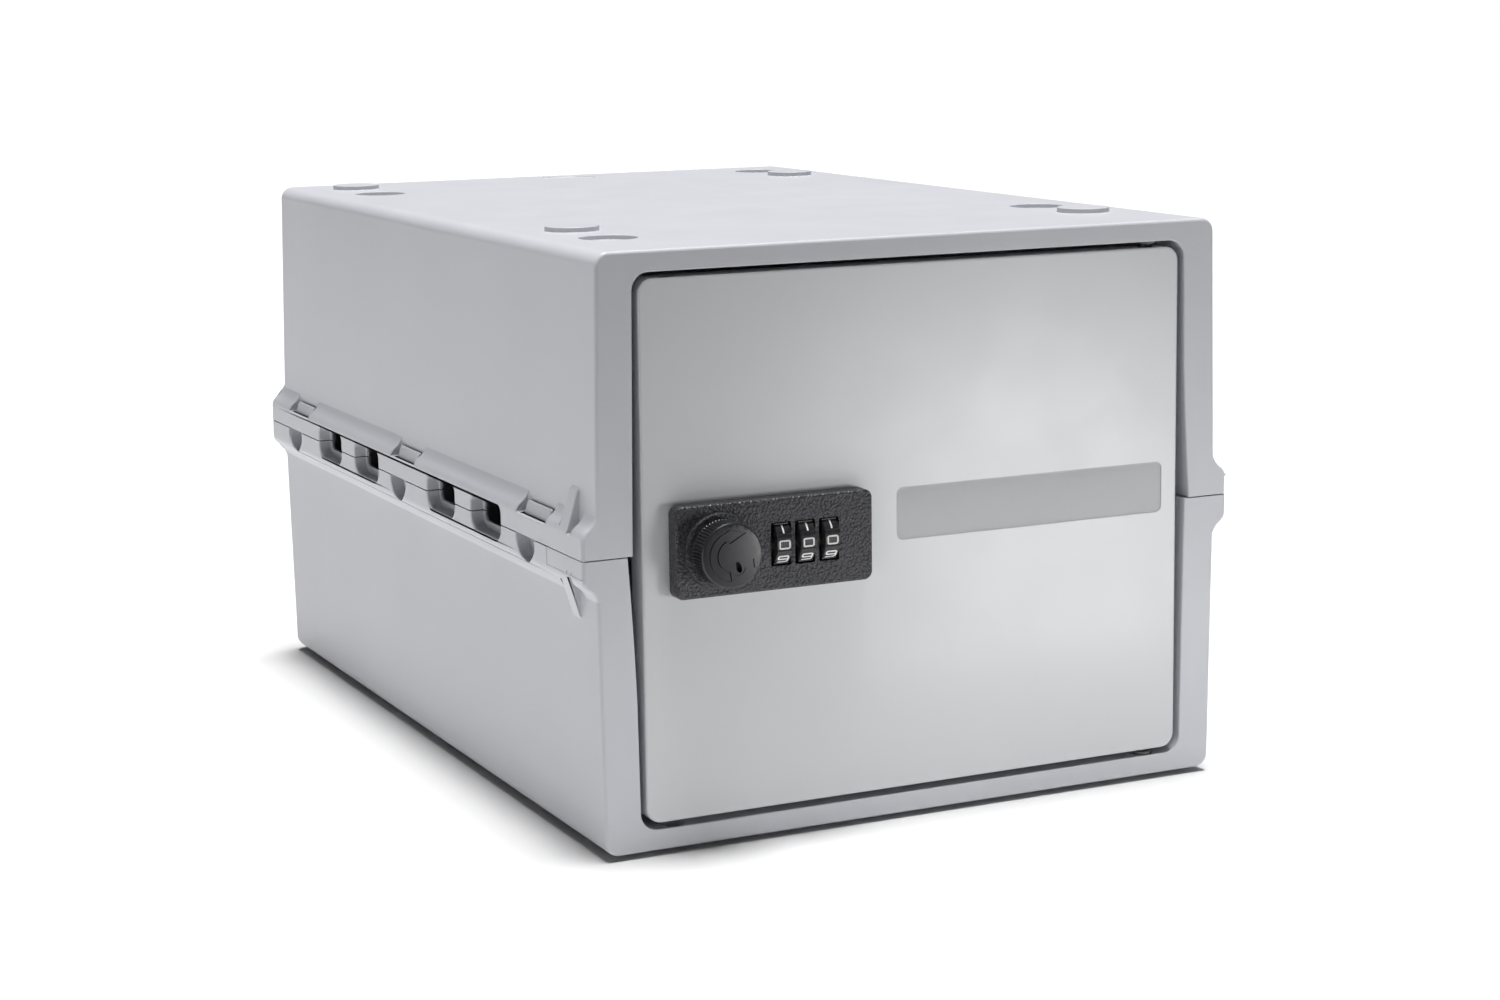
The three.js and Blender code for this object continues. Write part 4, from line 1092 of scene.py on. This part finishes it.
class Nodes:
    """Builds one material's node tree."""

    def __init__(self, name):
        self.material = bpy.data.materials.new(name)
        self.material.use_nodes = True
        self.tree = self.material.node_tree
        self.shader = self.tree.nodes["Principled BSDF"]
        self.place = self.add("ShaderNodeTexCoord").outputs["Object"]

    def add(self, kind, values=(), **settings):
        node = self.tree.nodes.new(kind)
        for key, value in settings.items():
            setattr(node, key, value)
        for name, value in dict(values).items():
            self.put(value, node.inputs[name])
        return node

    def put(self, value, socket):
        """Links a value that comes from a node, or sets it."""
        if isinstance(value, bpy.types.NodeSocket):
            self.tree.links.new(value, socket)
        else:
            socket.default_value = value

    def noise(self, scale, detail=2.0, rough=0.5, vector=None):
        node = self.add("ShaderNodeTexNoise", {
            "Vector": vector or self.place, "Scale": scale, "Detail": detail, "Roughness": rough,
        })
        return node.outputs["Fac"]

    def spread(self, value, low, high):
        """A noise's usual range, NOISE, brought to low and high."""
        node = self.add("ShaderNodeMapRange", {
            "Value": value, "From Min": NOISE[0], "From Max": NOISE[1],
            "To Min": low, "To Max": high,
        })
        return node.outputs["Result"]

    def tint(self, value, dark, light):
        """The same for a colour."""
        ramp = self.add("ShaderNodeValToRGB", {"Fac": value})
        for stop, position, colour in zip(ramp.color_ramp.elements, NOISE, (dark, light)):
            stop.position = position
            stop.color = (*colour, 1)
        return ramp.outputs["Color"]

    def bump(self, height, distance, strength=1.0, normal=None):
        values = {"Height": height, "Distance": distance, "Strength": strength}
        if normal is not None:
            values["Normal"] = normal
        return self.add("ShaderNodeBump", values).outputs["Normal"]

    def wire(self, **sockets):
        for name, value in sockets.items():
            self.put(value, self.shader.inputs[name.replace("_", " ")])
        return self.material


def moulded(name, dark, light, rough, grain, depth, gloss=0.5):
    """Moulded plastic: a faint flow mottle, a fine sparked texture and a slight change of gloss."""
    n = Nodes(name)
    flow = n.noise(14, 3)
    fine = n.noise(grain, 2, 0.6)
    slow = n.noise(60, 2)
    return n.wire(
        Base_Color=n.tint(flow, dark, light),
        Roughness=n.spread(slow, rough - 0.015, rough + 0.015),
        Normal=n.bump(fine, depth, 0.5),
        Specular_IOR_Level=gloss,
    )


def cast_black(name, base, lift, rough, grain, depth):
    """Black plastic with a pebbled grain, given by the bump; the pebbles are also painted brighter
    than the base by the given factor, a painted glint that stands for light catching the grain.
    """
    n = Nodes(name)
    pebbles = n.add("ShaderNodeTexVoronoi", {"Vector": n.place, "Scale": grain}).outputs["Distance"]
    fine = n.noise(grain * 1.6, 1)
    # painted glint: the pebbles' colour is the base made brighter by the given factor, standing for
    # light catching the grain
    painted_glint_colour = tuple(c * lift for c in base)
    return n.wire(
        Base_Color=n.tint(pebbles, painted_glint_colour, base),
        Roughness=n.spread(n.noise(grain / 3, 2), rough - 0.03, rough + 0.03),
        Normal=n.bump(fine, depth * 0.6, 0.5, n.bump(pebbles, depth, 0.8)),
    )


def metal(name, dark, light, rough):
    """Metal with fine level lines, as left by rolling or turning."""
    n = Nodes(name)
    stretch = n.add("ShaderNodeMapping", {"Vector": n.place, "Scale": (300, 300, 6000)})
    lines = n.noise(1, 3, 0.6, stretch.outputs["Vector"])
    return n.wire(
        Base_Color=n.tint(n.noise(180, 2), dark, light),
        Metallic=1.0,
        Roughness=n.spread(lines, rough - 0.08, rough + 0.1),
        Normal=n.bump(lines, 0.00002, 0.5),
    )


def striped_dial(name):
    """A glossy black wheel with fine lines around it."""
    n = Nodes(name)
    waves = n.add("ShaderNodeTexWave", {"Vector": n.place, "Scale": 480.0, "Distortion": 0.0})
    waves.bands_direction = "X"
    lines = waves.outputs["Fac"]
    return n.wire(
        Base_Color=n.tint(n.noise(500, 2), (0.012, 0.012, 0.014), (0.024, 0.024, 0.027)),
        Roughness=n.spread(n.noise(1500, 2), 0.3, 0.42),
        Normal=n.bump(lines, 0.00005, 0.5),
    )


def painted_digit(name):
    """White paint, a little uneven."""
    n = Nodes(name)
    return n.wire(
        Base_Color=n.tint(n.noise(2500, 2), (0.78, 0.78, 0.77), (0.86, 0.86, 0.85)),
        Roughness=n.spread(n.noise(1200, 2), 0.4, 0.55),
        Normal=n.bump(n.noise(4000, 1), 0.00001, 0.4),
    )


def make_materials():
    """Every look by its name."""
    looks = {
        "shell_plastic": (moulded, dict(
            dark=(0.585, 0.59, 0.63), light=(0.61, 0.615, 0.65),
            rough=0.42, grain=2600, depth=0.00004,
        )),
        "door_plastic": (moulded, dict(
            dark=(0.585, 0.60, 0.62), light=(0.605, 0.62, 0.64),
            rough=0.33, grain=3200, depth=0.00002, gloss=0.9,
        )),
        "label_grain": (moulded, dict(
            dark=(0.52, 0.53, 0.55), light=(0.56, 0.57, 0.59), rough=0.5, grain=1500, depth=0.00015
        )),
        # the black looks paint a glint on their pebbles: the factor after base makes the pebbles
        # brighter than the base
        "lock_black": (cast_black, dict(
            base=(0.024, 0.024, 0.029), lift=2.2, rough=0.4, grain=1300, depth=0.0003
        )),
        "knob_black": (cast_black, dict(
            base=(0.019, 0.019, 0.023), lift=1.2, rough=0.31, grain=5200, depth=0.00001
        )),
        "dial_black": (striped_dial, {}),
        "digit_white": (painted_digit, {}),
        "steel": (metal, dict(dark=(0.56, 0.56, 0.57), light=(0.66, 0.66, 0.67), rough=0.32)),
        "dark_steel": (metal, dict(dark=(0.06, 0.06, 0.065), light=(0.1, 0.1, 0.105), rough=0.5)),
        "brass": (metal, dict(dark=(0.68, 0.5, 0.24), light=(0.76, 0.59, 0.3), rough=0.34)),
        "bush_plastic": (moulded, dict(
            dark=(0.18, 0.18, 0.19), light=(0.22, 0.22, 0.23), rough=0.45, grain=3000, depth=0.00002
        )),
    }
    return {name: make(name, **values) for name, (make, values) in looks.items()}


def dress(obj, body, slot, *nodes, look=None):
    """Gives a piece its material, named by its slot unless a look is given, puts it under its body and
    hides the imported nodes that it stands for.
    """
    obj.data.materials.clear()
    obj.data.materials.append(MATERIALS[look or slot])
    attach(obj, body)
    if nodes:
        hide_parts(*nodes)


# ---- camera, light and floor ----

CAMERA = {
    "lens": 68.474, "sensor": 36.0, "shift": (0.0, -0.06),
    "azimuth": -25.722, "elevation": 8.602, "roll": -0.714,
    "place": (-392.89, -850.53, 155.95),
}


def make_camera():
    """The camera stands in front and to the left, a little above the box."""
    data = bpy.data.cameras.new("camera")
    data.sensor_width = CAMERA["sensor"]
    data.lens = CAMERA["lens"]
    data.shift_x, data.shift_y = CAMERA["shift"]
    data.clip_start = 0.01
    data.clip_end = 200.0
    camera = bpy.data.objects.new("camera", data)
    azimuth, elevation = math.radians(CAMERA["azimuth"]), math.radians(CAMERA["elevation"])
    level = math.cos(elevation)
    back = Vector((
        math.sin(azimuth) * level, -math.cos(azimuth) * level, math.sin(elevation)
    ))
    turn = (-back).to_track_quat("-Z", "Y").to_matrix().to_4x4()
    roll = Matrix.Rotation(math.radians(CAMERA["roll"]), 4, "Z")
    camera.matrix_world = Matrix.Translation(Vector(CAMERA["place"]) * MM + ORIGIN) @ turn @ roll
    bpy.context.scene.collection.objects.link(camera)
    bpy.context.scene.camera = camera


def light(kind, name, towards, power, place=(0.0, 0.0, 0.0), **settings):
    """A light that shines along a direction; a sun stands for a large, far softbox."""
    data = bpy.data.lights.new(name, kind)
    data.energy = power
    for key, value in settings.items():
        setattr(data, key, value)
    lamp = bpy.data.objects.new(name, data)
    lamp.location = place
    lamp.visible_camera = False
    lamp.rotation_mode = "QUATERNION"
    lamp.rotation_quaternion = Vector(towards).to_track_quat("-Z", "Y")
    bpy.context.scene.collection.objects.link(lamp)


TABLE = {"front": 200.0, "reach": 3000.0}    # millimetres in front of the box, and elsewhere


def make_studio():
    """A white table under a large softbox, in a room that is white to the camera alone."""
    world = bpy.data.worlds.new("studio")
    world.use_nodes = True
    tree = world.node_tree
    background = tree.nodes["Background"]
    background.inputs["Color"].default_value = (1.0, 1.0, 1.0, 1.0)
    path = tree.nodes.new("ShaderNodeLightPath")
    tree.links.new(path.outputs["Is Camera Ray"], background.inputs["Strength"])
    bpy.context.scene.world = world
    light("SUN", "overhead", (-0.05, 0.0, -1.0), power=4.9, angle=math.radians(22))
    light("SUN", "front_low", (0.0, 1.0, 0.2), power=0.08, angle=math.radians(60))
    light("SUN", "left_low", (1.0, 0.35, 0.12), power=0.55, angle=math.radians(40))
    place, target = Vector((0.345, -0.65, 0.0)), Vector((0.05, -0.14, 0.1065))
    light("AREA", "right_front", target - place, power=0.9, place=place, size=0.15)
    edge, far = FRONT - TABLE["front"], TABLE["reach"]
    corners = [(-far, edge, 0), (far, edge, 0), (far, far, 0), (-far, far, 0)]
    floor = to_mesh_object("floor", corners, [(0, 1, 2, 3)])
    floor.location.z = -ORIGIN.z
    table = Nodes("table")
    table.wire(Base_Color=(0.82, 0.82, 0.82, 1), Roughness=0.9)
    floor.data.materials.append(table.material)
    view = bpy.context.scene.view_settings
    view.view_transform = "Standard"
    view.look = "None"


# ---- assembly ----

MATERIALS = make_materials()
make_camera()
make_studio()

upper = half_shell("shell_upper")
dress(upper, "box", "shell_plastic", "upper_shell")
lower = bpy.data.objects.new("shell_lower", upper.data.copy())
bpy.context.scene.collection.objects.link(lower)
half_turn = Matrix.Translation(ORIGIN) @ Matrix.Rotation(math.pi, 4, "Y") @ Matrix.Translation(-ORIGIN)
lower.data.transform(half_turn)
dress(smooth(lower), "box", "shell_plastic", "lower_shell")

make_door()
make_hinge()
make_faceplate()
make_housing()
for dial_name, dial_place in zip(DIAL_NAMES, DIAL_PLACES):
    make_dial(dial_name, dial_place)
make_knob()
make_cam()
make_housing_screws()
make_code_lever()
finish_carried_over()
